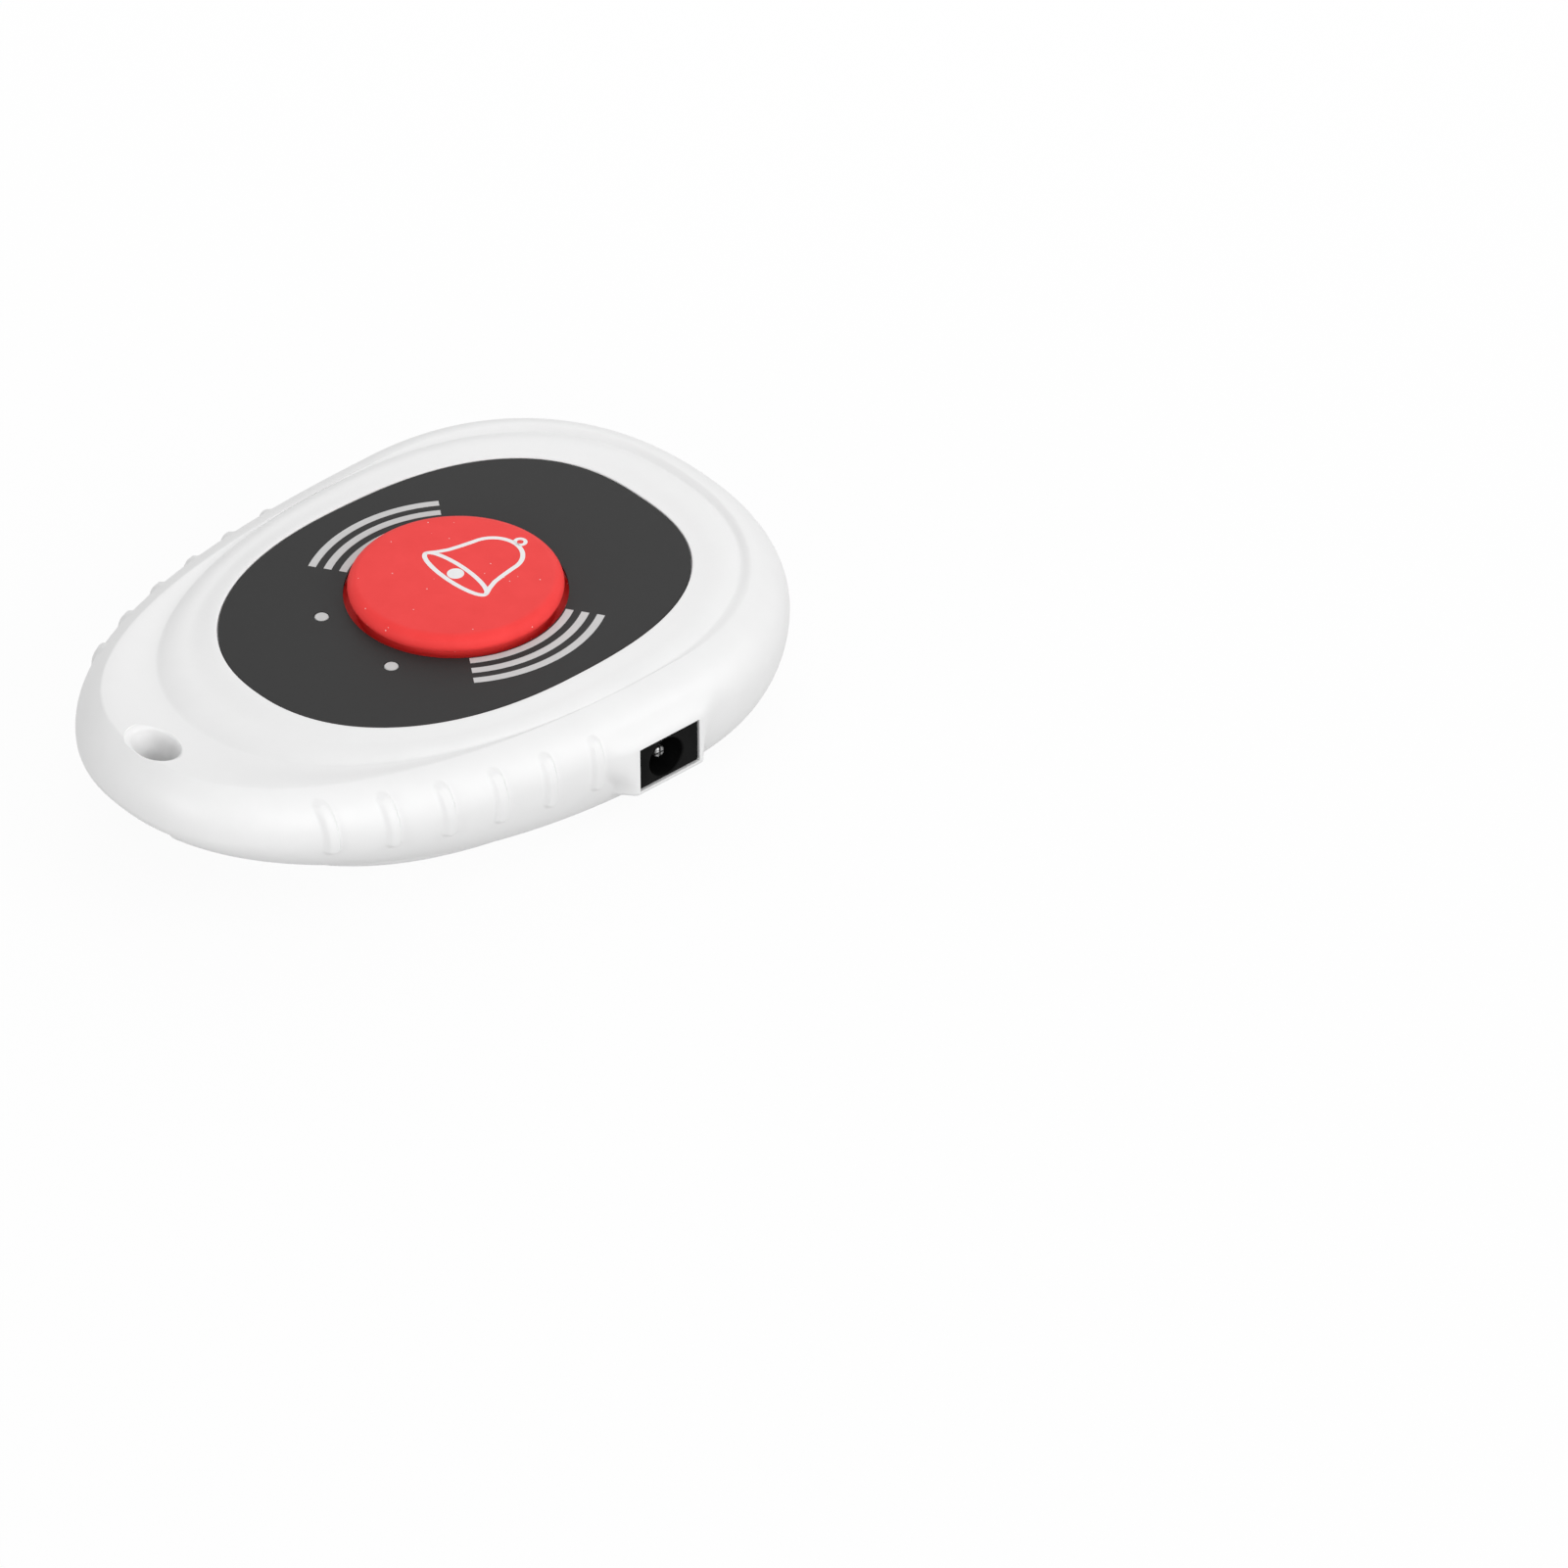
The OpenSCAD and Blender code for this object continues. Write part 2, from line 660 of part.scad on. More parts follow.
module circuit_board() {
    size = [socket_face_x - tongue_overhang - socket_back_x, socket_width + tongue_margin, board_thickness];
    color([0.1, 0.4, 0.2])
        difference() {
            union() {
                egg_plate(board_curve, board_bottom, board_thickness);
                block([socket_back_x + size.x / 2, socket_y], size, board_bottom);
            }
            for (place = screw_places)
                upright(place, 0, face_z, screw_r + screw_clearance);
            for (place = switch_leg_places)
                upright(place, 0, face_z, norm(leg) / 2 + lead_clearance);
            for (place = lamp_lead_places())
                upright(place, 0, face_z, lamp_lead / sqrt(2) + lead_clearance);
            for (place = coil_leg_places())
                upright(place, 0, face_z, coil_wire_r + lead_clearance);
            for (place = tail_places)
                block(place, [tail.x + 2 * lead_clearance, tail.y + 2 * lead_clearance, face_z], 0);
        }
}

module switch_base() {
    base_height = switch_height - plunger_stand - cover_thickness;
    color([0.12, 0.12, 0.12])
        difference() {
            block([0, 0], [switch_size, switch_size, base_height], board_top);
            upright([0, 0], switch_pocket_z(), base_height, plunger_d / 2 + plunger_flange + pocket_gap);
        }
}

function switch_cover_z() = plunger_top - plunger_stand - cover_thickness;
function plunger_foot_z() = switch_cover_z() - stop_gap - plunger_flange_thickness;
function switch_pocket_z() = plunger_foot_z() - dome_height;

module switch_cover() {
    size = [switch_size, switch_size + 2 * clip_thickness, cover_thickness];
    color([0.75, 0.75, 0.72]) {
        difference() {
            block([0, 0], size, switch_cover_z());
            upright([0, 0], switch_cover_z() - cut_margin, 2 * cut_margin, plunger_d / 2 + plunger_gap);
        }
        for (side = [-1, 1])
            block([0, side * (switch_size + clip_thickness) / 2],
                [switch_size / 2, clip_thickness, clip_height + cover_thickness / 2],
                switch_cover_z() - clip_height);
    }
}

module switch_plunger() {
    color([0.9, 0.85, 0.3]) {
        upright([0, 0], plunger_foot_z(), plunger_top - plunger_foot_z(), plunger_d / 2);
        upright([0, 0], plunger_foot_z(), plunger_flange_thickness, plunger_d / 2 + plunger_flange);
    }
}

module switch_dome() {
    rise = dome_height - dome_thickness;
    arch = [for (s = [0 : edge_steps]) let (f = s / edge_steps) [dome_r * f, rise * (1 - f * f)]];
    under = [for (s = [edge_steps : -1 : 0]) arch[s]];
    color([0.85, 0.83, 0.75])
        translate([0, 0, switch_pocket_z()])
            rotate_extrude()
                polygon(concat(under, [for (p = arch) p + [0, dome_thickness]]));
}

module switch_legs() {
    color([0.8, 0.8, 0.8])
        for (place = switch_leg_places)
            block(place, [leg.x, leg.y, board_top + leg_rise - tail_z], tail_z);
}

module indicator_leds() {
    r = lamp_d / 2;
    color([0.85, 0.9, 0.95])
        for (place = window_places) {
            upright(place, board_top, lamp_flange_thickness, r + lamp_flange);
            upright(place, board_top, lamp_height - r, r);
            translate([place.x, place.y, board_top + lamp_height - r])
                difference() {
                    sphere(r);
                    translate([-2 * r, -2 * r, -4 * r - overlap])
                        cube(4 * r);
                }
        }
}

function lamp_lead_places() = [for (place = window_places, side = [-1, 1])
    place + [side * lamp_lead_pitch / 2, 0]];

module led_leads() {
    color([0.8, 0.8, 0.8])
        for (place = lamp_lead_places())
            block(place, [lamp_lead, lamp_lead, board_top - tail_z], tail_z);
}

module along_socket(x, length, r) {
    translate([x, socket_mouth_y, socket_axis_z])
        rotate([0, 90, 0])
            cylinder(h = length, r = r);
}

module blade_space(margin) {
    size = blade + [2 * margin, 2 * margin, 2 * margin];
    middle = [socket_back_x + socket_back_wall + blade.x / 2 + overlap,
        socket_mouth_y - socket_mouth_d / 2 - blade.y / 2 + blade_bite];
    block(middle, size, socket_axis_z - size.z / 2);
}

module socket_housing() {
    color([0.08, 0.08, 0.08])
        difference() {
            translate([socket_back_x, socket_y - socket_width / 2, board_top])
                cube([socket_length, socket_width, socket_height]);
            along_socket(socket_back_x + socket_back_wall, socket_length, socket_mouth_d / 2);
            along_socket(socket_back_x - cut_margin, socket_length, socket_pin_d / 2 + pin_clearance / 2);
            blade_space(pin_clearance);
        }
}

module socket_pin() {
    r = socket_pin_d / 2;
    color([0.85, 0.85, 0.82]) {
        along_socket(socket_back_x, socket_length - socket_pin_recess - r, r);
        translate([socket_face_x - socket_pin_recess - r, socket_mouth_y, socket_axis_z])
            sphere(r);
    }
}

module socket_spring() {
    color([0.8, 0.7, 0.4])
        blade_space(0);
}

module socket_terminals() {
    color([0.8, 0.8, 0.8])
        for (place = tail_places)
            block(place, [tail.x, tail.y, board_top - tail_z], tail_z);
}

module chip_body(place, size) {
    color([0.1, 0.1, 0.1])
        block(place, size, board_top + part_stand);
}

// Two rows of flat legs that run out from under a chip's long sides
module chip_legs(place, size, count) {
    color([0.8, 0.8, 0.8])
        for (side = [-1, 1], k = [0 : count - 1])
            block(place + [side * (size.x + chip_leg.x) / 2, (k - (count - 1) / 2) * chip_leg_pitch],
                [chip_leg.x, chip_leg.y, part_stand + chip_leg.z], board_top);
}

module controller_chip() chip_body(controller_at, controller_size);
module controller_legs() chip_legs(controller_at, controller_size, controller_leg_count);
module charger_chip() chip_body(charger_at, charger_size);
module charger_legs() chip_legs(charger_at, charger_size, charger_leg_count);
module radio_transistor() chip_body(transistor_at, transistor_size);

module transistor_legs() {
    reach = (transistor_size.x + chip_leg.x) / 2;
    half_pitch = transistor_leg_pitch / 2;
    color([0.8, 0.8, 0.8])
        for (place = [[reach, half_pitch], [reach, -half_pitch], [-reach, 0]])
            block(transistor_at + place, [chip_leg.x, chip_leg.y, part_stand + chip_leg.z], board_top);
}

module radio_resonator() {
    color([0.8, 0.8, 0.78])
        translate([resonator_at.x, resonator_at.y, board_top])
            linear_extrude(resonator_size.z)
                rounded_plate(resonator_size, resonator_size.y / 4);
}

// Coil along X: its ends point down at the board
function coil_half() = coil_turns * coil_pitch / 2;
function coil_leg_places() = [for (side = [-1, 1]) [side * coil_half(), coil_y]];
function coil_angle(s) = -90 + 360 * s / coil_steps;
function coil_point(s) = [-coil_half() + coil_pitch * s / coil_steps,
    coil_y + coil_r * cos(coil_angle(s)), coil_z + coil_r * sin(coil_angle(s))];
function coil_ring(s) = let (a = coil_angle(s), outward = [0, cos(a), sin(a)],
    run = [coil_pitch / (2 * PI * coil_r), -sin(a), cos(a)],
    across = cross(run / norm(run), outward))
    [for (q = [0 : coil_sides - 1]) let (b = 360 * q / coil_sides)
        coil_point(s) + coil_wire_r * (cos(b) * outward + sin(b) * across)];

module antenna_coil() {
    count = coil_turns * coil_steps;
    n = coil_sides;
    sides = [for (s = [0 : count - 1], q = [0 : n - 1]) let (k = (q + 1) % n)
        each [[s * n + q, (s + 1) * n + k, s * n + k], [s * n + q, (s + 1) * n + q, (s + 1) * n + k]]];
    caps = [[for (q = [0 : n - 1]) q], [for (q = [n - 1 : -1 : 0]) count * n + q]];
    color([0.8, 0.5, 0.25]) {
        polyhedron(points = [for (s = [0 : count]) each coil_ring(s)], faces = concat(sides, caps));
        for (place = coil_leg_places()) {
            upright(place, tail_z, coil_z - coil_r - tail_z, coil_wire_r);
            translate([place.x, place.y, coil_z - coil_r])
                sphere(coil_wire_r);
        }
    }
}

module chip_resistors() {
    color([0.15, 0.15, 0.15])
        for (place = resistor_places)
            block(place, resistor_size, board_top);
}

module chip_capacitors() {
    color([0.65, 0.5, 0.35])
        for (place = capacitor_places)
            block(place, capacitor_size, board_top);
}

module battery_pouch() {
    color([0.75, 0.76, 0.78]) {
        translate([0, battery_y + battery_seal.x + battery_length / 2, battery_z])
            linear_extrude(battery_thickness)
                rounded_plate([battery_width, battery_length], battery_corner);
        block([0, battery_y + battery_seal.x],
            [battery_width - 2 * battery_corner, 2 * battery_seal.x, battery_seal.y],
            battery_z + battery_thickness / 2 - battery_seal.y / 2);
    }
}

module battery_tape() {
    color([0.2, 0.2, 0.2])
        block([0, battery_y + battery_seal.x + battery_length / 2],
            [battery_width / 2, battery_length / 2, tape_thickness], board_top);
}

// One lead, from the seal of the battery down to the board
module battery_lead(x) {
    lead_z = battery_z + battery_thickness / 2;
    translate([x, battery_y - battery_lead_bend, lead_z]) {
        rotate([-90, 0, 0])
            cylinder(h = battery_lead_bend, r = battery_lead_r);
        translate([0, 0, -battery_lead_bend])
            rotate([0, 90, 0])
                rotate([0, 0, 180])
                    rotate_extrude(angle = 90)
                        translate([battery_lead_bend, 0])
                            circle(battery_lead_r);
        translate([0, -battery_lead_bend, board_top - lead_z])
            cylinder(h = lead_z - board_top - battery_lead_bend, r = battery_lead_r);
    }
}

module battery_lead_red() {
    color([0.8, 0.1, 0.1])
        battery_lead(battery_lead_pitch / 2);
}

module battery_lead_black() {
    color([0.1, 0.1, 0.1])
        battery_lead(-battery_lead_pitch / 2);
}

module cover_screws() {
    color([0.7, 0.7, 0.7])
        for (place = screw_places)
            difference() {
                union() {
                    upright(place, screw_sink, screw_head_height, screw_head_r);
                    upright(place, screw_sink, screw_tip_z - screw_sink, screw_r);
                }
                for (turn = [0, 90])
                    translate([place.x, place.y, screw_sink])
                        rotate([0, 0, turn])
                            cube([screw_slot.x, screw_slot.y, screw_head_height], center = true);
            }
}

upper_shell();
lower_shell();
face_overlay();
led_windows();
call_button();
circuit_board();
switch_base();
switch_cover();
switch_plunger();
switch_dome();
switch_legs();
indicator_leds();
led_leads();
socket_housing();
socket_pin();
socket_spring();
socket_terminals();
controller_chip();
controller_legs();
charger_chip();
charger_legs();
radio_resonator();
radio_transistor();
transistor_legs();
antenna_coil();
chip_resistors();
chip_capacitors();
battery_pouch();
battery_tape();
battery_lead_red();
battery_lead_black();
cover_screws();
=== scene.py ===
"""Looks of a wireless call button: case, printed face, push button and socket, in a plain studio.

Shapes are worked out in millimetres in the frame of the CAD model, and turned into metres where
a mesh is made. +Z is up, +Y points to the wide end of the case and +X to the charging socket.
"""

import math
from collections import namedtuple

import bmesh
import bpy
import numpy as np
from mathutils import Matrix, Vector


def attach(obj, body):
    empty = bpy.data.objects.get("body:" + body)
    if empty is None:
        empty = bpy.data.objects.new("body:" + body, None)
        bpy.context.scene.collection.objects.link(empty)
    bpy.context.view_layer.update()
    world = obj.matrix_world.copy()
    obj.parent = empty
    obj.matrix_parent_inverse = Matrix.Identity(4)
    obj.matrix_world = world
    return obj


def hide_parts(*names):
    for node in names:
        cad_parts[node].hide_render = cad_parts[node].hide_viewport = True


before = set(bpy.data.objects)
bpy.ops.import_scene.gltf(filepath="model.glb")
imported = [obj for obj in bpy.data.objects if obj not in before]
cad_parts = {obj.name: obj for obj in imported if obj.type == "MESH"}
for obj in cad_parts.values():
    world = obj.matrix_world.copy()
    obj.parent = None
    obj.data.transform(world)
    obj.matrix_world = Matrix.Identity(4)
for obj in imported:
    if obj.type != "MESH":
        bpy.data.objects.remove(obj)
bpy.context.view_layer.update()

MM = 0.001

# Plan curves: two half superellipses that meet on their widest line, with half their width, their
# reach to the wide end and to the lanyard end, the widest line's y, and how blunt each half is
Egg = namedtuple("Egg", "half wide lanyard widest wide_blunt lanyard_blunt")


def inset_egg(egg, gap):
    return egg._replace(half=egg.half - gap, wide=egg.wide - gap, lanyard=egg.lanyard - gap)


def oval(half_x, half_y, y):
    return Egg(half_x, half_y, half_y, y, 2.0, 2.0)


WALL = 2.0
FILM_GAP = 0.1
CAVITY_END_Y = -33.55
CASE = Egg(27.45, 25.2, 53.0, 9.4, 2.2, 2.3)
GROOVE = Egg(23.45, 26.9, 36.9, 3.0, 2.35, 2.1)
FACE = Egg(19.15, 25.5, 25.5, -0.63, 2.55, 2.2)
FILM = inset_egg(FACE, FILM_GAP)
CAVITY = inset_egg(CASE, WALL)._replace(lanyard=CASE.widest - CAVITY_END_Y)
BELLY = Egg(21.5, 28.4, 31.8, 0.0, 2.2, 2.2)
WELL = inset_egg(BELLY, WALL)
WIDE_END_Y = CASE.widest + CASE.wide
LANYARD_END_Y = CASE.widest - CASE.lanyard

# Heights above the resting face
FACE_Z = 15.0
RECESS_Z = 14.7
LIP_Z = 15.1
ROOF_Z = 13.2
PARTING_Z = 10.0
FLOOR_Z = 1.5
BOARD_TOP_Z = 5.25
BOARD_BOTTOM_Z = 3.65

# Values at the lanyard end, beside the button and at the wide end. Heights are seen from the printed
# face, and the groove's depth from the crest of the rim
RIM_RISE = (0.25, -0.5, 0.4)
RIM_DROP = (8.1, 13.5, 11.6)
GROOVE_DEPTH = (0.6, 0.1, 0.25)
PLATFORM_CREST = (-0.05, -0.05, 0.45)
UPPER_ROUND = (2.6, 3.8, 3.8)
CREST_ANGLE = (64.0, 80.0, 90.0)

# Edges and wall of the shells
UNDER_ROUND = 4.8
LIP_ROUND = 0.12
ROOF_CORNER = 1.2
BELLY_EDGE = 1.2
SHELL_FLOOR = 1.5

# The platform has its crest at this share of the way from the film to the groove
CREST_AT = 0.5
GROOVE_POWER = 2.5

# A ring this far inside the outline keeps the faces on the parting plane from crossing the ribs
PARTING_RING = 1.0

# Spacing of the mesh round the case, by what lies there, and its rows from the film to the inside
PLAIN_SPACING = 0.8
RIB_SPACING = 0.14
SOCKET_SPACING = 0.2
LANYARD_SPACING = 0.25
OUTLINE_STEPS = 20000
PLATFORM_ROWS = 24
GROOVE_ROWS = 32
RIM_ROWS = 44
UNDER_ROWS = 64
WELL_ROWS = 9

# Meshes: how far a cutting tool reaches past what it cuts, how far a joined solid goes into its
# neighbour, and the angle from which an edge is sharp
OVER = 1.0
OVERLAP = 0.5
SHARP_ANGLE = 38.0

# Grip ribs
RIB_COUNT = 6
RIB_PITCH = 5.6
RIB_FIRST = 3.9
RIB_WIDTH = 1.1
RIB_HEIGHT = 0.5
RIB_SOFTNESS = 0.42
RIB_LOW_Z = (6.8, 8.5)
RIB_HIGH_Z = (12.9, 14.05)
RIB_MARGIN = 2.0

# Charging socket, with the hole for the plug and its centre pin
SOCKET_Y = 4.45
SOCKET_Z = 7.75
SOCKET_FRONT_X = 28.15
SOCKET_BACK_X = 17.25
SOCKET_WIDTH = 7.7
SOCKET_HEIGHT = 5.0
SOCKET_CLEARANCE = 0.1
SOCKET_EDGE = 0.15
SOCKET_CUT = 4.0
PLUG_Y = 4.05
PLUG_RADIUS = 2.2
PLUG_EDGE = 0.12
PLUG_BACK_X = 18.75
PIN_RADIUS = 0.65
PIN_TIP_X = 27.15
PIN_EDGE = 0.25
PIN_SLOT = 0.2
PIN_SLOT_DEPTH = 2.0

# Bezel: the rim drawn out to the socket's front. At its foot it ends in a small rounding, below the
# socket and on the right. Over the height of BEZEL_SPREAD it turns soft, with the longer left run
# and the right run, and above the socket it falls back to the rim
BEZEL_X = 28.25
BEZEL_BELOW = 0.2
BEZEL_RIGHT = 0.3
BEZEL_ROUND = 0.8
BEZEL_RUN_LEFT = (1.9, 4.6)
BEZEL_RUN_RIGHT = 3.6
BEZEL_SPREAD = 4.6
BEZEL_TOP_Z = 10.25
BEZEL_RISE = 2.6

# Lanyard hole, its oval mouth and the notch for the cord under the tab
LANYARD_Y = -38.9
LANYARD_BORE = oval(1.95, 1.95, LANYARD_Y)
LANYARD_MOUTH = oval(3.0, 2.1, LANYARD_Y)
LANYARD_LOW_Z = 12.55
LANYARD_LIP_Z = 14.4
LANYARD_LIP = 0.65
NOTCH_HALF = 6.5
NOTCH_END_Y = -35.95
NOTCH_Z = 9.0

# Push button. The white deck stands back under the film, and the button's foot is drawn in above
# it, for a dark line round the button
BUTTON_RADIUS = 11.1
BUTTON_HOLE_RADIUS = 11.55
DECK_HOLE_RADIUS = 12.1
BUTTON_TOP_Z = 17.0
BUTTON_CROWN = 0.15
BUTTON_EDGE = 1.2
BUTTON_FOOT = 0.85
BUTTON_SKIN = 2.0
BUTTON_SIDE = 1.5
BUTTON_CENTRE = 0.05
FLANGE_RADIUS = 12.6
FLANGE_TOP_Z = 13.15
FLANGE_BOTTOM_Z = 12.15
STEM_RADIUS = 2.5
STEM_ROOT_RADIUS = 3.5
PLUNGER_TOP_Z = 10.25

# Light windows and screws
WINDOW_PLACES = [(-5.6, -13.1), (5.6, -13.1)]
WINDOW_RADIUS = 0.75
WINDOW_FLANGE = 0.25
WINDOW_EDGE = 0.08
FIT = 0.05
SCREW_PLACES = [(-14.0, 14.5), (14.0, 14.5), (-12.5, -18.0), (12.5, -18.0)]
SCREW_HOLE_RADIUS = 1.2
SCREW_HEAD_RADIUS = 2.0
SCREW_SEAT_Z = 1.6
SCREW_TIP_Z = 10.55
THREAD_RADIUS = 1.03
BOSS_RADIUS = 2.2
POST_RADIUS = 2.4

# Prints on the film and on the button. The bell's places are seen from the middle of its mouth,
# which lies on the button's axis
PRINT_THICKNESS = 0.02
ARC_RADII = (12.13, 13.8, 15.46)
ARC_WIDTH = 0.83
ARC_HALF_ANGLE = 33.0
BELL_LINE = 0.5
BELL_SIDE = [(4.75, 0.1), (4.2, 1.0), (3.7, 2.1), (3.4, 3.4), (3.15, 4.8)]
BELL_DOME_Y = 4.9
BELL_DOME_RADIUS = 3.1
BELL_MOUTH = (4.75, 1.25)
CLAPPER_RADIUS = 0.45
CLAPPER_LINE = 0.88
BELL_RING_Y = 8.6
BELL_RING_RADIUS = 0.55
BELL_RING_LINE = 0.4


# Plain arithmetic

def mix(a, b, f):
    return a + (b - a) * f


def smooth(f):
    f = np.clip(f, 0.0, 1.0)
    return f * f * (3 - 2 * f)


def signed_power(values, exponent):
    return np.sign(values) * np.abs(values) ** exponent


def along(y, values):
    """The parabola at y through its values at the lanyard end, the button and the wide end."""
    lanyard, middle, wide = values
    low, high = LANYARD_END_Y, WIDE_END_Y
    return (lanyard * y * (y - high) / (low * (low - high))
            + middle * (y - low) * (y - high) / (low * high)
            + wide * y * (y - low) / (high * (high - low)))


def quarter_round(radius, steps):
    """Pairs of (in, down) from the foot of a rounded edge to its top, seen from the sharp corner."""
    angle = np.radians(np.linspace(0, 90, steps))
    return list(zip(radius * (1 - np.cos(angle)), radius * (1 - np.sin(angle))))


def arc(centre, radius, start, end, count=24):
    turn = np.radians(np.linspace(start, end, count))
    return np.array(centre) + radius * np.stack([np.cos(turn), np.sin(turn)], axis=1)


# Points and normals of the plan curves

def egg_points(egg, t):
    up = np.sin(t) >= 0
    exponent = 2 / np.where(up, egg.wide_blunt, egg.lanyard_blunt)
    reach = np.where(up, egg.wide, egg.lanyard)
    x = egg.half * signed_power(np.cos(t), exponent)
    y = egg.widest + reach * signed_power(np.sin(t), exponent)
    return np.stack([x, y], axis=-1)


def egg_normals(egg, points):
    x, y = points[..., 0], points[..., 1] - egg.widest
    up = y >= 0
    exponent = np.where(up, egg.wide_blunt, egg.lanyard_blunt) - 1
    reach = np.where(up, egg.wide, egg.lanyard)
    slope = np.stack([signed_power(x / egg.half, exponent) / egg.half,
                      signed_power(y / reach, exponent) / reach], axis=-1)
    return slope / np.linalg.norm(slope, axis=-1, keepdims=True)


def make_stations():
    """Angles round the case, closer together at the ribs, the socket and the lanyard hole."""
    t = np.linspace(0, 2 * math.pi, OUTLINE_STEPS + 1)
    points = egg_points(CASE, t)
    step = np.linalg.norm(np.diff(points, axis=0), axis=1)
    x, y = ((points[1:] + points[:-1]) / 2).T
    ribs_low = -RIB_FIRST - RIB_PITCH * (RIB_COUNT - 1) - RIB_MARGIN
    ribs_high = -RIB_FIRST + RIB_MARGIN
    spacing = np.full(len(step), PLAIN_SPACING)
    spacing[(y > ribs_low) & (y < ribs_high)] = RIB_SPACING
    spacing[(x > 0) & (abs(y - SOCKET_Y) < SOCKET_WIDTH)] = SOCKET_SPACING
    spacing[y < ribs_low] = LANYARD_SPACING
    count = np.concatenate([[0], np.cumsum(step / spacing)])
    return np.interp(np.linspace(0, count[-1], int(count[-1]), endpoint=False), count, t)


STATIONS = make_stations()
OUTLINE = egg_points(CASE, STATIONS)
OUTWARD = egg_normals(CASE, OUTLINE)


# Heights of the outer skin

def rim_top(y):
    return FACE_Z + along(y, RIM_RISE)


def rim_bottom(y):
    return FACE_Z - along(y, RIM_DROP)


def groove_z(y):
    return rim_top(y) - along(y, GROOVE_DEPTH)


def platform_z(f, y):
    """Height of the platform at a share f of the way from the film to the groove."""
    crest = FACE_Z + along(y, PLATFORM_CREST)
    if f < CREST_AT:
        return mix(LIP_Z, crest, smooth(f / CREST_AT))
    return mix(crest, groove_z(y), ((f - CREST_AT) / (1 - CREST_AT)) ** GROOVE_POWER)


def upper_skin(y, f):
    """Inset from the outline and height of the rim, from the parting plane at 0 to its crest at 1."""
    crest = np.radians(along(y, CREST_ANGLE))
    inset = along(y, UPPER_ROUND) * (1 - np.cos(f * crest)) / (1 - np.cos(crest))
    return inset, PARTING_Z + (rim_top(y) - PARTING_Z) * np.sin(f * crest) / np.sin(crest)


def lower_skin(y, f):
    """Inset from the outline and height of the rim, from the parting plane at 0 to its foot at 1."""
    angle = f * math.pi / 2
    inset = np.full_like(y, UNDER_ROUND * (1 - math.cos(angle)))
    return inset, PARTING_Z - (PARTING_Z - rim_bottom(y)) * math.sin(angle)


def underside_z(depth, outline_y, y):
    """Height of the lower skin at a distance inside the outline."""
    inside = np.clip(1 - depth / UNDER_ROUND, 0, 1)
    curved = PARTING_Z - (PARTING_Z - rim_bottom(outline_y)) * np.sqrt(1 - inside ** 2)
    return np.where(depth >= UNDER_ROUND, rim_bottom(y), curved)


# Solids: points and faces, before they become a mesh

Solid = namedtuple("Solid", "points faces")


def loft(rows):
    """A closed solid through rows of points, with a flat cap on the first and the last row."""
    grid = np.array(rows, float)
    count, size = grid.shape[:2]
    index = np.arange(count * size).reshape(count, size)
    onward = np.roll(index, -1, axis=1)
    sides = np.stack([index[:-1], onward[:-1], onward[1:], index[1:]], axis=-1)
    caps = [index[0].tolist(), index[-1].tolist()]
    return Solid(grid.reshape(-1, 3), sides.reshape(-1, 4).tolist() + caps)


def turned(profile, place=(0, 0), segments=96):
    """A solid turned about an upright axis, from a profile of (radius, height)."""
    turn = np.linspace(0, 2 * math.pi, segments, endpoint=False)
    ring = np.stack([np.cos(turn), np.sin(turn)], axis=1)
    return loft([np.column_stack([place + r * ring, np.full(segments, z)]) for r, z in profile])


def pin(place, low, high, radius, segments=96):
    return turned([(radius, low), (radius, high)], place, segments)


def block(low, high):
    (x0, y0, z0), (x1, y1, z1) = low, high
    corners = [(x0, y0), (x1, y0), (x1, y1), (x0, y1)]
    return loft([[(x, y, z) for x, y in corners] for z in (z0, z1)])


def along_x(solid, y, z):
    """A solid turned about the upright axis, laid along X with its axis at y and z."""
    return Solid(solid.points[:, [2, 0, 1]] + np.array([0, y, z]), solid.faces)


def merged(solids):
    points, faces, start = [], [], 0
    for solid in solids:
        points.append(solid.points)
        faces += [[v + start for v in face] for face in solid.faces]
        start += len(solid.points)
    return Solid(np.concatenate(points), faces)


def ribbon(path, width, height, closed=False):
    """A thin printed line along a path in plan, on a surface whose height is a function of x and y."""
    path = np.array(path, float)
    if closed:
        ahead = np.roll(path, -1, axis=0) - np.roll(path, 1, axis=0)
    else:
        ahead = np.gradient(path, axis=0)
    across = np.stack([-ahead[:, 1], ahead[:, 0]], axis=1)
    across *= width / 2 / np.linalg.norm(across, axis=1, keepdims=True)
    edges = [(path + across, 1), (path - across, 1), (path - across, -1), (path + across, -1)]
    ring = [np.column_stack([p, [height(x, y) + side * PRINT_THICKNESS for x, y in p]])
            for p, side in edges]
    grid = np.stack(ring, axis=1)
    if not closed:
        return loft(grid)
    solid = loft(np.concatenate([grid, grid[:1]]))
    return Solid(solid.points, solid.faces[:-2])


# Meshes

def new_object(name, solid):
    """A mesh object in metres, with its faces turned outwards."""
    mesh = bpy.data.meshes.new(name)
    mesh.from_pydata((solid.points * MM).tolist(), [], solid.faces)
    work = bmesh.new()
    work.from_mesh(mesh)
    bmesh.ops.remove_doubles(work, verts=work.verts, dist=1e-8)
    bmesh.ops.recalc_face_normals(work, faces=work.faces)
    work.to_mesh(mesh)
    work.free()
    made = bpy.data.objects.new(name, mesh)
    bpy.context.scene.collection.objects.link(made)
    return made


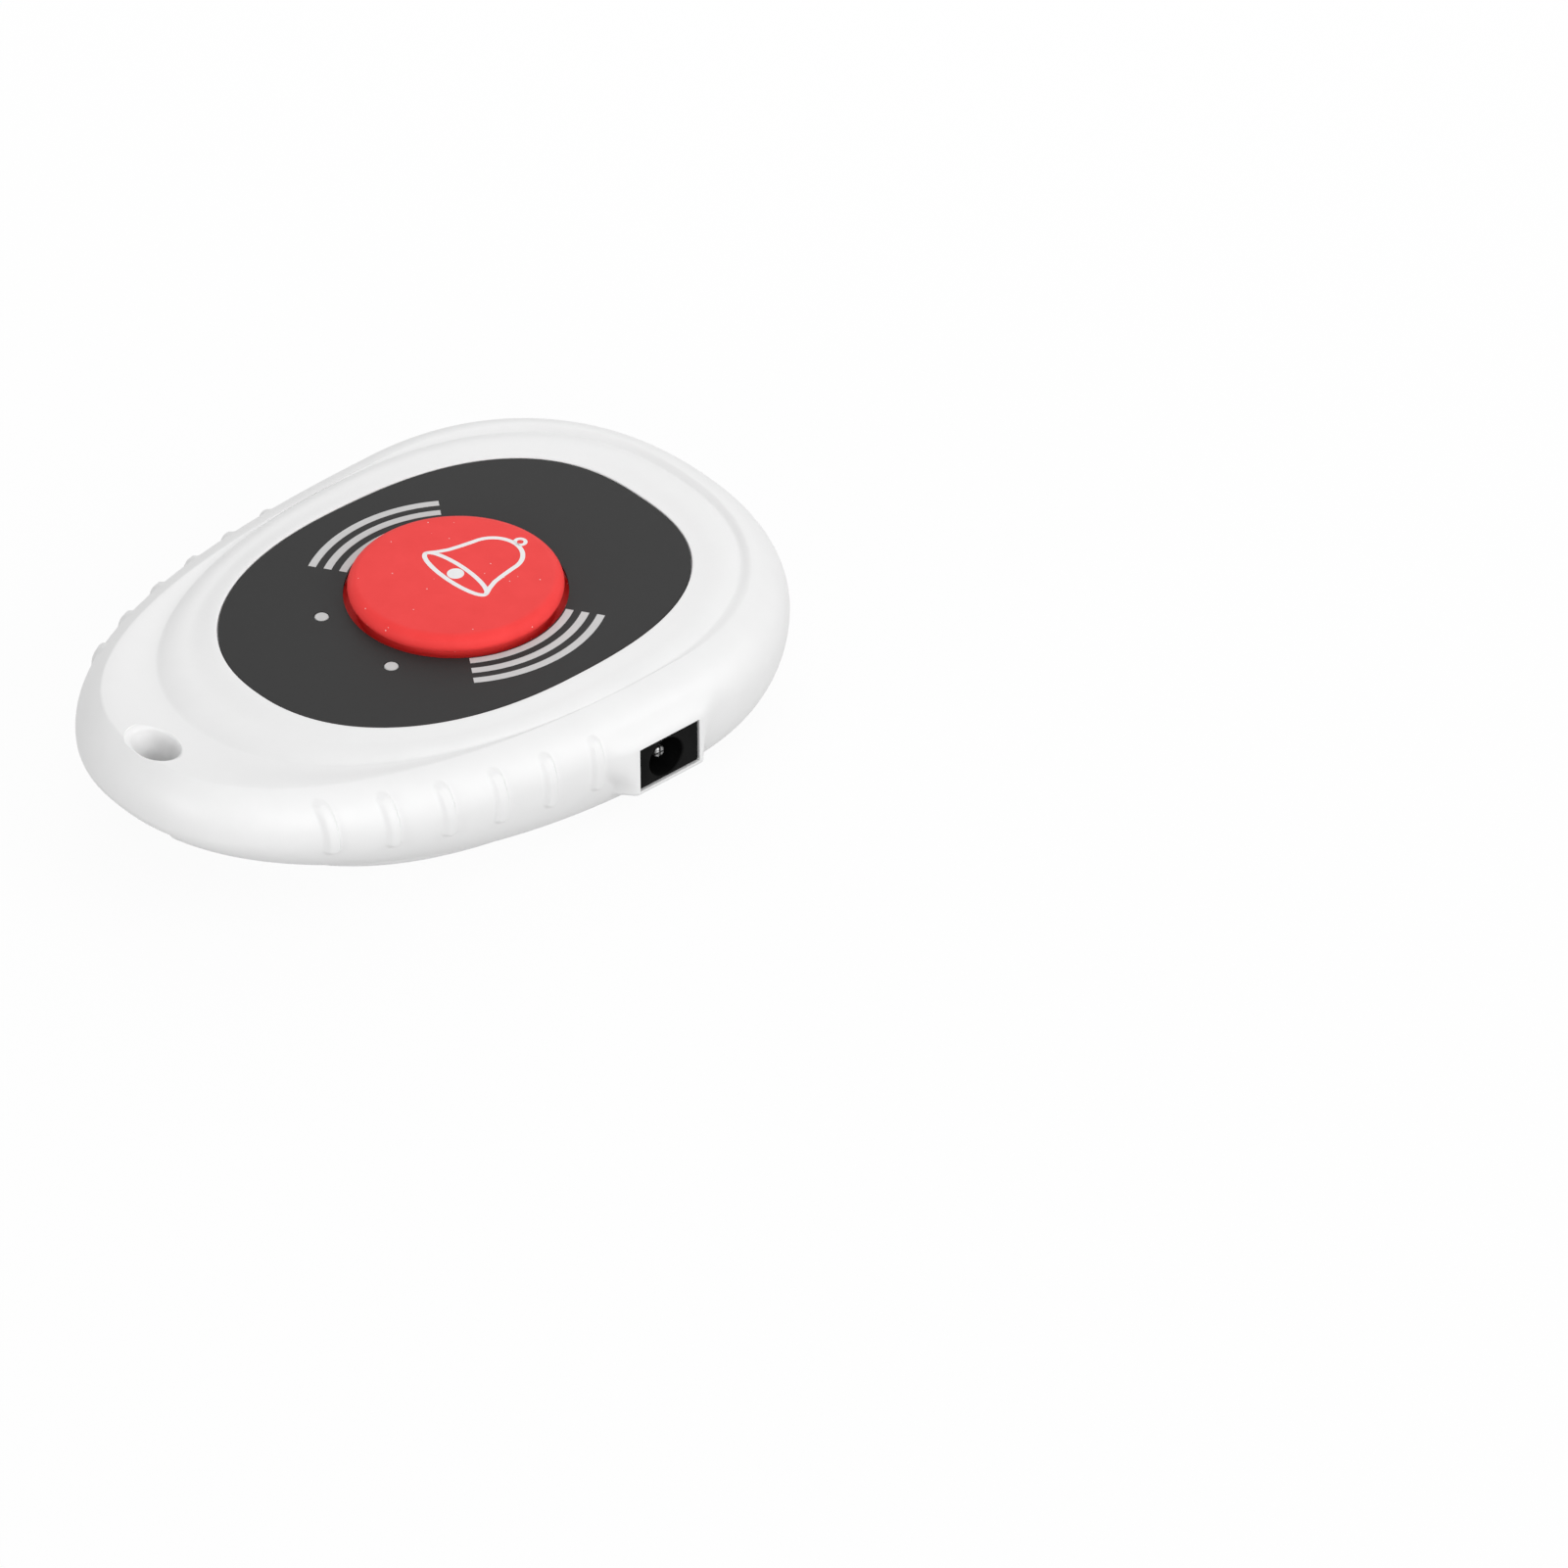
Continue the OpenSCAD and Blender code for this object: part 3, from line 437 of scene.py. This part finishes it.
def combine(target, solid, operation):
    """Cuts a solid out of an object, or joins it on."""
    tool = new_object("tool", solid)
    modifier = target.modifiers.new(operation, "BOOLEAN")
    modifier.operation = operation
    modifier.solver = "EXACT"
    modifier.object = tool
    evaluated = target.evaluated_get(bpy.context.evaluated_depsgraph_get())
    result = bpy.data.meshes.new_from_object(evaluated)
    target.modifiers.clear()
    target.data = result
    result.name = target.name
    bpy.data.objects.remove(tool)


def finish_piece(piece, body, material, replaces=()):
    """Shades a piece, ties it to its CAD body, gives it its material and hides the CAD nodes it stands
    in for.
    """
    piece.data.shade_smooth()
    piece.data.set_sharp_from_angle(angle=math.radians(SHARP_ANGLE))
    piece.data.materials.clear()
    piece.data.materials.append(material)
    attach(piece, body)
    if replaces:
        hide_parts(*replaces)


# Rows of the case

def level_row(egg, z, inset=0.0, stations=STATIONS):
    points = egg_points(egg, stations)
    points = points - inset * egg_normals(egg, points)
    return np.column_stack([points, np.full(len(points), z)])


def rim_rows(skin, steps):
    rows = []
    for f in steps:
        inset, height = skin(OUTLINE[:, 1], f)
        rows.append(np.column_stack([OUTLINE - inset[:, None] * OUTWARD, height]))
    return np.array(rows)


def add_ribs(rows):
    """Swells the rim into the grip ribs, which stand across the case and have round ends."""
    x, y, z = rows[..., 0], rows[..., 1], rows[..., 2]
    swell = np.zeros_like(x)
    for k in range(RIB_COUNT):
        low = mix(*RIB_LOW_Z, k / (RIB_COUNT - 1)) + RIB_WIDTH / 2
        high = mix(*RIB_HIGH_Z, k / (RIB_COUNT - 1)) - RIB_WIDTH / 2
        across = y + RIB_FIRST + k * RIB_PITCH
        beyond = np.maximum(0, np.maximum(low - z, z - high))
        off = np.hypot(across, beyond)
        swell += smooth((RIB_WIDTH / 2 + RIB_SOFTNESS / 2 - off) / RIB_SOFTNESS)
    rows[..., 0] += np.sign(x) * RIB_HEIGHT * swell
    return rows


def add_bezel(rows):
    """Draws the rim out to the frame of the charging socket, firm at its foot and soft at its top."""
    x, y, z = rows[..., 0], rows[..., 1], rows[..., 2]
    half = SOCKET_WIDTH / 2 + SOCKET_CLEARANCE
    foot_z = SOCKET_Z - SOCKET_HEIGHT / 2 - SOCKET_CLEARANCE - BEZEL_BELOW
    height = smooth((z - foot_z) / BEZEL_SPREAD)
    left = np.maximum(SOCKET_Y - half - y, 0)
    right = np.maximum(y - SOCKET_Y - half - BEZEL_RIGHT, 0)
    edge = np.hypot(right, np.maximum(foot_z - z, 0)) / BEZEL_ROUND
    firm = np.sqrt(np.clip(1 - edge ** 2, 0, 1))
    share = mix(firm, 1 - smooth(right / BEZEL_RUN_RIGHT), height)
    share *= 1 - smooth(left / mix(*BEZEL_RUN_LEFT, height))
    share *= 1 - smooth((z - BEZEL_TOP_Z) / BEZEL_RISE)
    rows[..., 0] += np.where(x > 0, share * np.maximum(BEZEL_X - x, 0), 0)
    return rows


# Shells

def socket_opening():
    half_width = SOCKET_WIDTH / 2 + SOCKET_CLEARANCE
    half_height = SOCKET_HEIGHT / 2 + SOCKET_CLEARANCE
    return block((SOCKET_FRONT_X - SOCKET_CUT, SOCKET_Y - half_width, SOCKET_Z - half_height),
                 (SOCKET_FRONT_X + SOCKET_CUT, SOCKET_Y + half_width, SOCKET_Z + half_height))


def lanyard_hole():
    """The round hole through the tab, which widens to an oval mouth with a rounded edge."""
    turn = np.linspace(0, 2 * math.pi, 128, endpoint=False)
    rows = [level_row(LANYARD_BORE, PARTING_Z - OVER, stations=turn)]
    for f in np.linspace(0, 1, 9):
        between = Egg(*(mix(a, b, f) for a, b in zip(LANYARD_BORE, LANYARD_MOUTH)))
        rows.append(level_row(between, mix(LANYARD_LOW_Z, LANYARD_LIP_Z, f), stations=turn))
    for inward, down in quarter_round(LANYARD_LIP, steps=10)[1:]:
        rows.append(level_row(LANYARD_MOUTH, LANYARD_LIP_Z + LANYARD_LIP - down, -inward, turn))
    rows.append(level_row(LANYARD_MOUTH, FACE_Z + OVER, -LANYARD_LIP, turn))
    return loft(rows)


def upper_rows():
    """Rows of the upper shell: film's recess, lip, platform, groove, rim, parting plane and inside."""
    groove = egg_points(GROOVE, STATIONS)
    rim = add_bezel(add_ribs(rim_rows(upper_skin, np.linspace(1, 0, RIM_ROWS))))
    rows = [level_row(FACE, RECESS_Z)]
    for inward, down in quarter_round(LIP_ROUND, steps=5):
        rows.append(level_row(FACE, LIP_Z - down, -inward))
    lip = rows[-1][:, :2]
    for f in np.linspace(0, 1, PLATFORM_ROWS)[1:]:
        plan = mix(lip, groove, f)
        rows.append(np.column_stack([plan, platform_z(f, plan[:, 1])]))
    for f in np.linspace(0, 1, GROOVE_ROWS)[1:-1]:
        plan = mix(groove, rim[0][:, :2], f)
        height = mix(groove_z(groove[:, 1]), rim[0][:, 2], smooth(f))
        rows.append(np.column_stack([plan, height]))
    inside = [level_row(CASE, PARTING_Z, PARTING_RING), level_row(CAVITY, PARTING_Z),
              level_row(CAVITY, ROOF_Z - ROOF_CORNER), level_row(CAVITY, ROOF_Z, ROOF_CORNER)]
    return np.concatenate([rows, rim, inside])


def make_upper_shell(material):
    shell = new_object("upper_case", loft(upper_rows()))
    bosses = [pin(p, BOARD_TOP_Z, ROOF_Z + OVERLAP, BOSS_RADIUS) for p in SCREW_PLACES]
    combine(shell, merged(bosses), "UNION")
    window_hole = WINDOW_RADIUS + WINDOW_FLANGE + FIT
    cuts = [pin((0, 0), ROOF_Z - OVER, FACE_Z, DECK_HOLE_RADIUS, segments=192)]
    cuts += [socket_opening(), lanyard_hole()]
    cuts += [pin(p, ROOF_Z - OVER, FACE_Z, window_hole) for p in WINDOW_PLACES]
    cuts += [pin(p, BOARD_TOP_Z - OVER, SCREW_TIP_Z, THREAD_RADIUS) for p in SCREW_PLACES]
    combine(shell, merged(cuts), "DIFFERENCE")
    finish_piece(shell, "case", material, ["upper_shell"])


def lower_rows():
    """Rows of the lower shell: floor and inside, parting plane, rim and belly."""
    cavity = egg_points(CAVITY, STATIONS)
    well = egg_points(WELL, STATIONS)
    rows = [level_row(WELL, FLOOR_Z)]
    for f in np.linspace(1, 0, WELL_ROWS):
        plan = mix(cavity, well, f)
        depth = np.linalg.norm(OUTLINE - plan, axis=1)
        height = underside_z(depth, OUTLINE[:, 1], plan[:, 1]) + SHELL_FLOOR
        rows.append(np.column_stack([plan, height]))
    rows += [level_row(CAVITY, PARTING_Z), level_row(CASE, PARTING_Z, PARTING_RING)]
    rim = add_bezel(add_ribs(rim_rows(lower_skin, np.linspace(0, 1, UNDER_ROWS))))
    belly = egg_points(BELLY, STATIONS)
    root = np.column_stack([belly, rim_bottom(belly[:, 1])])
    edge = [level_row(BELLY, down, inward) for inward, down in quarter_round(BELLY_EDGE, steps=9)]
    return np.concatenate([rows, rim, [root], edge])


def make_lower_shell(material):
    shell = new_object("lower_case", loft(lower_rows()))
    posts = [pin(p, FLOOR_Z - OVERLAP, BOARD_BOTTOM_Z, POST_RADIUS) for p in SCREW_PLACES]
    combine(shell, merged(posts), "UNION")
    sunk_hole = [(SCREW_HEAD_RADIUS, -OVER), (SCREW_HEAD_RADIUS, SCREW_SEAT_Z),
                 (SCREW_HOLE_RADIUS, SCREW_SEAT_Z), (SCREW_HOLE_RADIUS, BOARD_BOTTOM_Z + OVER)]
    screw_holes = [turned(sunk_hole, p) for p in SCREW_PLACES]
    combine(shell, merged(screw_holes + [socket_opening()]), "DIFFERENCE")
    notch = block((-NOTCH_HALF, LANYARD_END_Y - OVER, 0), (NOTCH_HALF, NOTCH_END_Y, NOTCH_Z))
    combine(shell, notch, "DIFFERENCE")
    bore = pin((0, LANYARD_Y), NOTCH_Z - OVER, PARTING_Z + OVER, LANYARD_BORE.half)
    combine(shell, bore, "DIFFERENCE")
    finish_piece(shell, "case", material, ["lower_shell"])


# Printed face, light windows and push button

def film_top_z(x, y):
    return FACE_Z


def button_top_z(x, y):
    """Height of the button's crowned top."""
    flat = BUTTON_RADIUS - BUTTON_EDGE
    return BUTTON_TOP_Z + BUTTON_CROWN * (1 - (x * x + y * y) / flat ** 2)


def make_film(material):
    film = new_object("face_film", loft([level_row(FILM, RECESS_Z), level_row(FILM, FACE_Z)]))
    low, high = RECESS_Z - OVER, FACE_Z + OVER
    cuts = [pin((0, 0), low, high, BUTTON_HOLE_RADIUS, segments=192)]
    cuts += [pin(p, low, high, WINDOW_RADIUS + FIT) for p in WINDOW_PLACES]
    combine(film, merged(cuts), "DIFFERENCE")
    finish_piece(film, "case", material, ["face_overlay"])


def make_arcs(material):
    arcs = []
    for middle in (0, 180):
        for radius in ARC_RADII:
            path = arc((0, 0), radius, middle - ARC_HALF_ANGLE, middle + ARC_HALF_ANGLE, 49)
            arcs.append(ribbon(path, ARC_WIDTH, film_top_z))
    piece = new_object("sound_arcs", merged(arcs))
    finish_piece(piece, "case", material)


def make_windows(material):
    flange = WINDOW_RADIUS + WINDOW_FLANGE
    profile = [(flange, ROOF_Z), (flange, RECESS_Z), (WINDOW_RADIUS, RECESS_Z),
               (WINDOW_RADIUS, FACE_Z - WINDOW_EDGE), (WINDOW_RADIUS - WINDOW_EDGE, FACE_Z)]
    windows = [turned(profile, p, segments=48) for p in WINDOW_PLACES]
    piece = new_object("light_windows", merged(windows))
    finish_piece(piece, "case", material, ["led_windows"])


def make_button(material):
    skin_z = BUTTON_TOP_Z - BUTTON_SKIN
    inner = BUTTON_RADIUS - BUTTON_SIDE
    profile = [(STEM_RADIUS, PLUNGER_TOP_Z), (STEM_ROOT_RADIUS, skin_z), (inner, skin_z),
               (inner, FLANGE_BOTTOM_Z), (FLANGE_RADIUS, FLANGE_BOTTOM_Z),
               (FLANGE_RADIUS, FLANGE_TOP_Z), (BUTTON_RADIUS - BUTTON_FOOT, FLANGE_TOP_Z)]
    for inward, up in reversed(quarter_round(BUTTON_FOOT, steps=9)):
        profile.append((BUTTON_RADIUS - inward, FACE_Z + up))
    for inward, down in quarter_round(BUTTON_EDGE, steps=13):
        profile.append((BUTTON_RADIUS - inward, BUTTON_TOP_Z - down))
    for radius in np.linspace(BUTTON_RADIUS - BUTTON_EDGE, BUTTON_CENTRE, 24)[1:]:
        profile.append((radius, button_top_z(radius, 0)))
    piece = new_object("push_button", turned(profile, segments=192))
    finish_piece(piece, "button", material, ["call_button"])


def make_bell(material):
    """A plain bell in outline: dome, open mouth, clapper and a ring on top."""
    right = np.concatenate([BELL_SIDE, arc((0, BELL_DOME_Y), BELL_DOME_RADIUS, 4, 90, 16)])
    outline = np.concatenate([right, (right * (-1, 1))[::-1]])
    mouth = arc((0, 0), 1.0, 0, 352.5, 48) * BELL_MOUTH
    clapper = arc((0, 0), CLAPPER_RADIUS, 0, 345)
    ring = arc((0, BELL_RING_Y), BELL_RING_RADIUS, 0, 345)
    lines = [ribbon(outline, BELL_LINE, button_top_z),
             ribbon(mouth, BELL_LINE, button_top_z, closed=True),
             ribbon(clapper, CLAPPER_LINE, button_top_z, closed=True),
             ribbon(ring, BELL_RING_LINE, button_top_z, closed=True)]
    piece = new_object("bell_print", merged(lines))
    finish_piece(piece, "button", material)


# Charging socket

def rounded_row(x, width, height, corner):
    """A rectangle with rounded corners, upright across X at the socket's middle."""
    points = []
    for k, (sy, sz) in enumerate([(1, 1), (-1, 1), (-1, -1), (1, -1)]):
        middle = (SOCKET_Y + sy * (width / 2 - corner), SOCKET_Z + sz * (height / 2 - corner))
        points += [(x, y, z) for y, z in arc(middle, corner, 90 * k, 90 * k + 90, 5)]
    return points


def make_socket_body(material):
    rows = []
    for x, inset in [(SOCKET_BACK_X, SOCKET_EDGE), (SOCKET_BACK_X + SOCKET_EDGE, 0),
                     (SOCKET_FRONT_X - SOCKET_EDGE, 0), (SOCKET_FRONT_X, SOCKET_EDGE)]:
        width, height = SOCKET_WIDTH - 2 * inset, SOCKET_HEIGHT - 2 * inset
        rows.append(rounded_row(x, width, height, SOCKET_EDGE))
    piece = new_object("socket_body", loft(rows))
    pin_hole = PIN_RADIUS + FIT / 2
    hole = turned([(pin_hole, SOCKET_BACK_X - OVER), (pin_hole, PLUG_BACK_X),
                   (PLUG_RADIUS, PLUG_BACK_X), (PLUG_RADIUS, SOCKET_FRONT_X - PLUG_EDGE),
                   (PLUG_RADIUS + 2 * PLUG_EDGE, SOCKET_FRONT_X + PLUG_EDGE)])
    combine(piece, along_x(hole, PLUG_Y, SOCKET_Z), "DIFFERENCE")
    finish_piece(piece, "case", material, ["socket_housing"])


def make_socket_pin(material):
    """The centre pin, with a rounded tip that is split crosswise."""
    profile = [(PIN_RADIUS, SOCKET_BACK_X)]
    for inward, down in quarter_round(PIN_EDGE, steps=6):
        profile.append((PIN_RADIUS - inward, PIN_TIP_X - down))
    piece = new_object("socket_post", along_x(turned(profile, segments=48), PLUG_Y, SOCKET_Z))
    for half_y, half_z in [(OVER, PIN_SLOT / 2), (PIN_SLOT / 2, OVER)]:
        slot = block((PIN_TIP_X - PIN_SLOT_DEPTH, PLUG_Y - half_y, SOCKET_Z - half_z),
                     (PIN_TIP_X + OVER, PLUG_Y + half_y, SOCKET_Z + half_z))
        combine(piece, slot, "DIFFERENCE")
    finish_piece(piece, "case", material, ["socket_pin"])


# Materials

ROUGHNESS_SPREAD = 0.15
BUMP_FINENESS = 8.0
METAL = {"Metallic": 1.0}


def maths(tree, operation, *values):
    """The outcome of a Math node on sockets and plain numbers."""
    node = tree.nodes.new("ShaderNodeMath")
    node.operation = operation
    for socket, value in zip(node.inputs, values):
        if isinstance(value, float):
            socket.default_value = value
        else:
            tree.links.new(value, socket)
    return node.outputs[0]


class Surface:
    """A procedural material: a Principled shader with noise in its colour, roughness and bump."""

    def __init__(self, name, roughness, settings=()):
        self.material = bpy.data.materials.new(name)
        self.material.use_nodes = True
        self.tree = self.material.node_tree
        self.shader = self.tree.nodes["Principled BSDF"]
        self.shader.inputs["Roughness"].default_value = roughness
        for socket, value in dict(settings).items():
            self.shader.inputs[socket].default_value = value
        self.place = self.tree.nodes.new("ShaderNodeTexCoord").outputs["Object"]

    def link(self, out_socket, node, in_socket):
        self.tree.links.new(out_socket, node.inputs[in_socket])

    def noise(self, size, detail=3.0):
        """Noise with features of about the given size in millimetres."""
        node = self.tree.nodes.new("ShaderNodeTexNoise")
        node.inputs["Scale"].default_value = 1 / (size * MM)
        node.inputs["Detail"].default_value = detail
        self.link(self.place, node, "Vector")
        return node.outputs["Fac"]

    def wander(self, low, high, size):
        """Colour that wanders between two values."""
        node = self.tree.nodes.new("ShaderNodeValToRGB")
        for point, position, value in zip(node.color_ramp.elements, (0.3, 0.7), (low, high)):
            point.position = position
            point.color = (*value, 1)
        self.link(self.noise(size), node, "Fac")
        return node.outputs["Color"]

    def colour(self, low, high, size):
        self.link(self.wander(low, high, size), self.shader, "Base Color")

    def worn_roughness(self, low, high, size):
        node = self.tree.nodes.new("ShaderNodeMapRange")
        node.inputs["To Min"].default_value = low
        node.inputs["To Max"].default_value = high
        self.link(self.noise(size), node, "Value")
        self.link(node.outputs["Result"], self.shader, "Roughness")

    def bump(self, size, depth):
        """Fine relief of the given size and depth in millimetres."""
        node = self.tree.nodes.new("ShaderNodeBump")
        node.inputs["Distance"].default_value = depth * MM
        node.inputs["Strength"].default_value = 1.0
        self.link(self.noise(size, detail=2.0), node, "Height")
        self.link(node.outputs["Normal"], self.shader, "Normal")

    def specks(self, ground, speck, pitch, share, radius):
        """Specks on a ground colour, one in a share of the cells of the given pitch in millimetres."""
        cells = self.tree.nodes.new("ShaderNodeTexVoronoi")
        cells.inputs["Scale"].default_value = 1 / (pitch * MM)
        self.link(self.place, cells, "Vector")
        split = self.tree.nodes.new("ShaderNodeSeparateColor")
        self.link(cells.outputs["Color"], split, "Color")
        near = maths(self.tree, "LESS_THAN", cells.outputs["Distance"], radius / pitch)
        chosen = maths(self.tree, "LESS_THAN", split.outputs["Red"], share)
        blend = self.tree.nodes.new("ShaderNodeMix")
        blend.data_type = "RGBA"
        blend.inputs["B"].default_value = (*speck, 1)
        self.link(maths(self.tree, "MULTIPLY", near, chosen), blend, "Factor")
        self.link(ground, blend, "A")
        self.link(blend.outputs["Result"], self.shader, "Base Color")


def grey(value):
    return (value, value, value)


def specular(level):
    return {"Specular IOR Level": level}


def plain(name, low, high, roughness, size=1.0, depth=0.01, settings=()):
    """A material whose colour and roughness wander a little, over features of one size."""
    surface = Surface(name, roughness, settings)
    surface.colour(low, high, size)
    surface.worn_roughness((1 - ROUGHNESS_SPREAD) * roughness, (1 + ROUGHNESS_SPREAD) * roughness, size)
    surface.bump(size / BUMP_FINENESS, depth)
    return surface.material


def make_silicone():
    """Red silicone with a few pale specks of dust."""
    surface = Surface("red_silicone", 0.55, specular(0.15))
    ground = surface.wander((0.92, 0.055, 0.053), (0.96, 0.063, 0.061), 3.0)
    surface.specks(ground, (0.95, 0.60, 0.60), pitch=0.9, share=0.35, radius=0.07)
    surface.bump(0.15, 0.012)
    return surface.material


def make_materials():
    """All materials, by a short name."""
    return {
        "shell": plain("white_plastic", grey(0.88), grey(0.90), 0.42, 4.0, 0.004),
        "film": plain("grey_film", grey(0.028), grey(0.032), 0.55, 1.0, 0.003, specular(0.12)),
        "print": plain("film_print", grey(0.58), grey(0.62), 0.5, 1.0, 0.003),
        "bell": plain("button_print", grey(0.86), grey(0.90), 0.5, 1.0, 0.003),
        "window": plain("window_plastic", grey(0.50), grey(0.54), 0.3, 1.0, 0.002),
        "button": make_silicone(),
        "black": plain("black_plastic", grey(0.003), grey(0.005), 0.55, 1.0, 0.006, specular(0.05)),
        "clear": plain("lamp_plastic", (0.75, 0.8, 0.85), (0.85, 0.88, 0.9), 0.15, 1.0, 0.002,
                       {"Transmission Weight": 0.6}),
        "board": plain("board_lacquer", (0.015, 0.12, 0.04), (0.03, 0.2, 0.07), 0.35, 2.5, 0.02),
        "steel": plain("tinned_steel", grey(0.58), grey(0.7), 0.28, 1.0, 0.004, METAL),
        "pin": plain("worn_tin", grey(0.05), grey(0.7), 0.4, 0.2, 0.01, METAL),
        "yellow": plain("yellow_plastic", (0.7, 0.56, 0.08), (0.78, 0.64, 0.11), 0.4),
        "brass": plain("spring_brass", (0.66, 0.5, 0.2), (0.75, 0.6, 0.28), 0.25, settings=METAL),
        "copper": plain("enamelled_wire", (0.6, 0.26, 0.1), (0.7, 0.34, 0.15), 0.25, settings=METAL),
        "ceramic": plain("ceramic", (0.4, 0.28, 0.17), (0.5, 0.36, 0.23), 0.5, 0.5),
        "foil": plain("pouch_foil", (0.55, 0.56, 0.58), (0.66, 0.67, 0.69), 0.3, 3.0, 0.05, METAL),
        "foam": plain("foam_tape", grey(0.03), grey(0.06), 0.9, 0.4, 0.1),
        "red_wire": plain("red_insulation", (0.5, 0.015, 0.015), (0.6, 0.03, 0.03), 0.4),
        "black_wire": plain("black_insulation", grey(0.012), grey(0.02), 0.4),
    }


INNER_NODES = {
    "circuit_board": "board", "switch_base": "black", "switch_cover": "steel",
    "switch_plunger": "yellow", "switch_dome": "steel", "switch_legs": "steel",
    "indicator_leds": "clear", "led_leads": "steel", "socket_spring": "brass",
    "socket_terminals": "steel", "controller_chip": "black", "controller_legs": "steel",
    "charger_chip": "black", "charger_legs": "steel", "radio_resonator": "steel",
    "radio_transistor": "black", "transistor_legs": "steel", "antenna_coil": "copper",
    "chip_resistors": "black", "chip_capacitors": "ceramic", "battery_pouch": "foil",
    "battery_tape": "foam", "battery_lead_red": "red_wire", "battery_lead_black": "black_wire",
    "cover_screws": "steel",
}


def dress_inner_nodes(materials):
    for node, material in INNER_NODES.items():
        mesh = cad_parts[node].data
        mesh.materials.clear()
        mesh.materials.append(materials[material])


# Studio. Places of the camera and the lamps, and the lamps' sizes, are in metres

CAMERA_AZIMUTH = 48.683
CAMERA_ELEVATION = 37.496
CAMERA_PLACE = (0.55537, -0.44361, 0.53484)
CAMERA_LENS = 197.82
SENSOR = 36.0
WHITE = (1, 1, 1, 1)
AMBIENT = 0.54
FLOOR_HALF = 3000.0
FLOOR_THICKNESS = 20.0
FLOOR_GREY = (0.35, 0.35, 0.35, 1)
FLOOR_GLOW = 0.93
Lamp = namedtuple("Lamp", "name place power size")
LAMPS = [
    Lamp("key", (0.85, -0.48, 0.25), 4.0, 0.7),
    Lamp("front", (0.0, -0.9, 0.16), 1.5, 0.3),
    Lamp("side", (0.8, 0.45, 0.4), 3.0, 0.7),
    Lamp("back", (-0.18, 0.2, 0.22), 0.27, 0.25),
]


def add_to_scene(name, data, place, view):
    """A camera or lamp at a place, that looks along a direction."""
    made = bpy.data.objects.new(name, data)
    bpy.context.scene.collection.objects.link(made)
    made.location = place
    made.rotation_euler = view.to_track_quat("-Z", "Y").to_euler()
    return made


def make_camera():
    data = bpy.data.cameras.new("camera")
    data.sensor_width = SENSOR
    data.lens = CAMERA_LENS
    azimuth, elevation = math.radians(CAMERA_AZIMUTH), math.radians(CAMERA_ELEVATION)
    back = Vector((math.sin(azimuth) * math.cos(elevation),
                   -math.cos(azimuth) * math.cos(elevation), math.sin(elevation)))
    bpy.context.scene.camera = add_to_scene("camera", data, CAMERA_PLACE, -back)


def make_lamp(lamp):
    """A soft square lamp that faces the object."""
    data = bpy.data.lights.new(lamp.name, "AREA")
    data.energy = lamp.power
    data.size = lamp.size
    add_to_scene(lamp.name, data, lamp.place, -Vector(lamp.place))


def blend_shaders(tree, factor, first, second):
    blend = tree.nodes.new("ShaderNodeMixShader")
    if isinstance(factor, float):
        blend.inputs["Fac"].default_value = factor
    else:
        tree.links.new(factor, blend.inputs["Fac"])
    tree.links.new(first.outputs[0], blend.inputs[1])
    tree.links.new(second.outputs[0], blend.inputs[2])
    return blend


def seen_directly(tree):
    """1 for rays from the camera, a mirror or a clear piece, and 0 for the light of the scene."""
    path = tree.nodes.new("ShaderNodeLightPath")
    factor = path.outputs["Is Camera Ray"]
    for ray in ("Is Glossy Ray", "Is Transmission Ray"):
        factor = maths(tree, "MAXIMUM", factor, path.outputs[ray])
    return factor


def make_world():
    """Even light from all round, in front of a white background."""
    world = bpy.data.worlds.new("studio")
    world.use_nodes = True
    tree = world.node_tree
    light = tree.nodes["Background"]
    light.inputs["Color"].default_value = WHITE
    light.inputs["Strength"].default_value = AMBIENT
    white = tree.nodes.new("ShaderNodeBackground")
    white.inputs["Color"].default_value = WHITE
    white.inputs["Strength"].default_value = 1.0
    look = blend_shaders(tree, seen_directly(tree), light, white)
    tree.links.new(look.outputs[0], tree.nodes["World Output"].inputs["Surface"])
    bpy.context.scene.world = world


def make_floor():
    """A pale floor that looks white and keeps a faint shadow of the object."""
    floor = new_object("floor", block((-FLOOR_HALF, -FLOOR_HALF, -FLOOR_THICKNESS),
                                      (FLOOR_HALF, FLOOR_HALF, 0)))
    material = bpy.data.materials.new("floor")
    material.use_nodes = True
    tree = material.node_tree
    tree.nodes.remove(tree.nodes["Principled BSDF"])
    matt = tree.nodes.new("ShaderNodeBsdfDiffuse")
    matt.inputs["Color"].default_value = FLOOR_GREY
    white = tree.nodes.new("ShaderNodeBsdfDiffuse")
    white.inputs["Color"].default_value = WHITE
    glow = tree.nodes.new("ShaderNodeEmission")
    glow.inputs["Strength"].default_value = 1.0
    pale = blend_shaders(tree, FLOOR_GLOW, white, glow)
    look = blend_shaders(tree, seen_directly(tree), matt, pale)
    tree.links.new(look.outputs[0], tree.nodes["Material Output"].inputs["Surface"])
    floor.data.materials.append(material)


def make_studio():
    bpy.context.scene.view_settings.view_transform = "Standard"
    make_camera()
    make_world()
    make_floor()
    for lamp in LAMPS:
        make_lamp(lamp)


materials = make_materials()
make_studio()
make_upper_shell(materials["shell"])
make_lower_shell(materials["shell"])
make_film(materials["film"])
make_arcs(materials["print"])
make_windows(materials["window"])
make_button(materials["button"])
make_bell(materials["bell"])
make_socket_body(materials["black"])
make_socket_pin(materials["pin"])
dress_inner_nodes(materials)
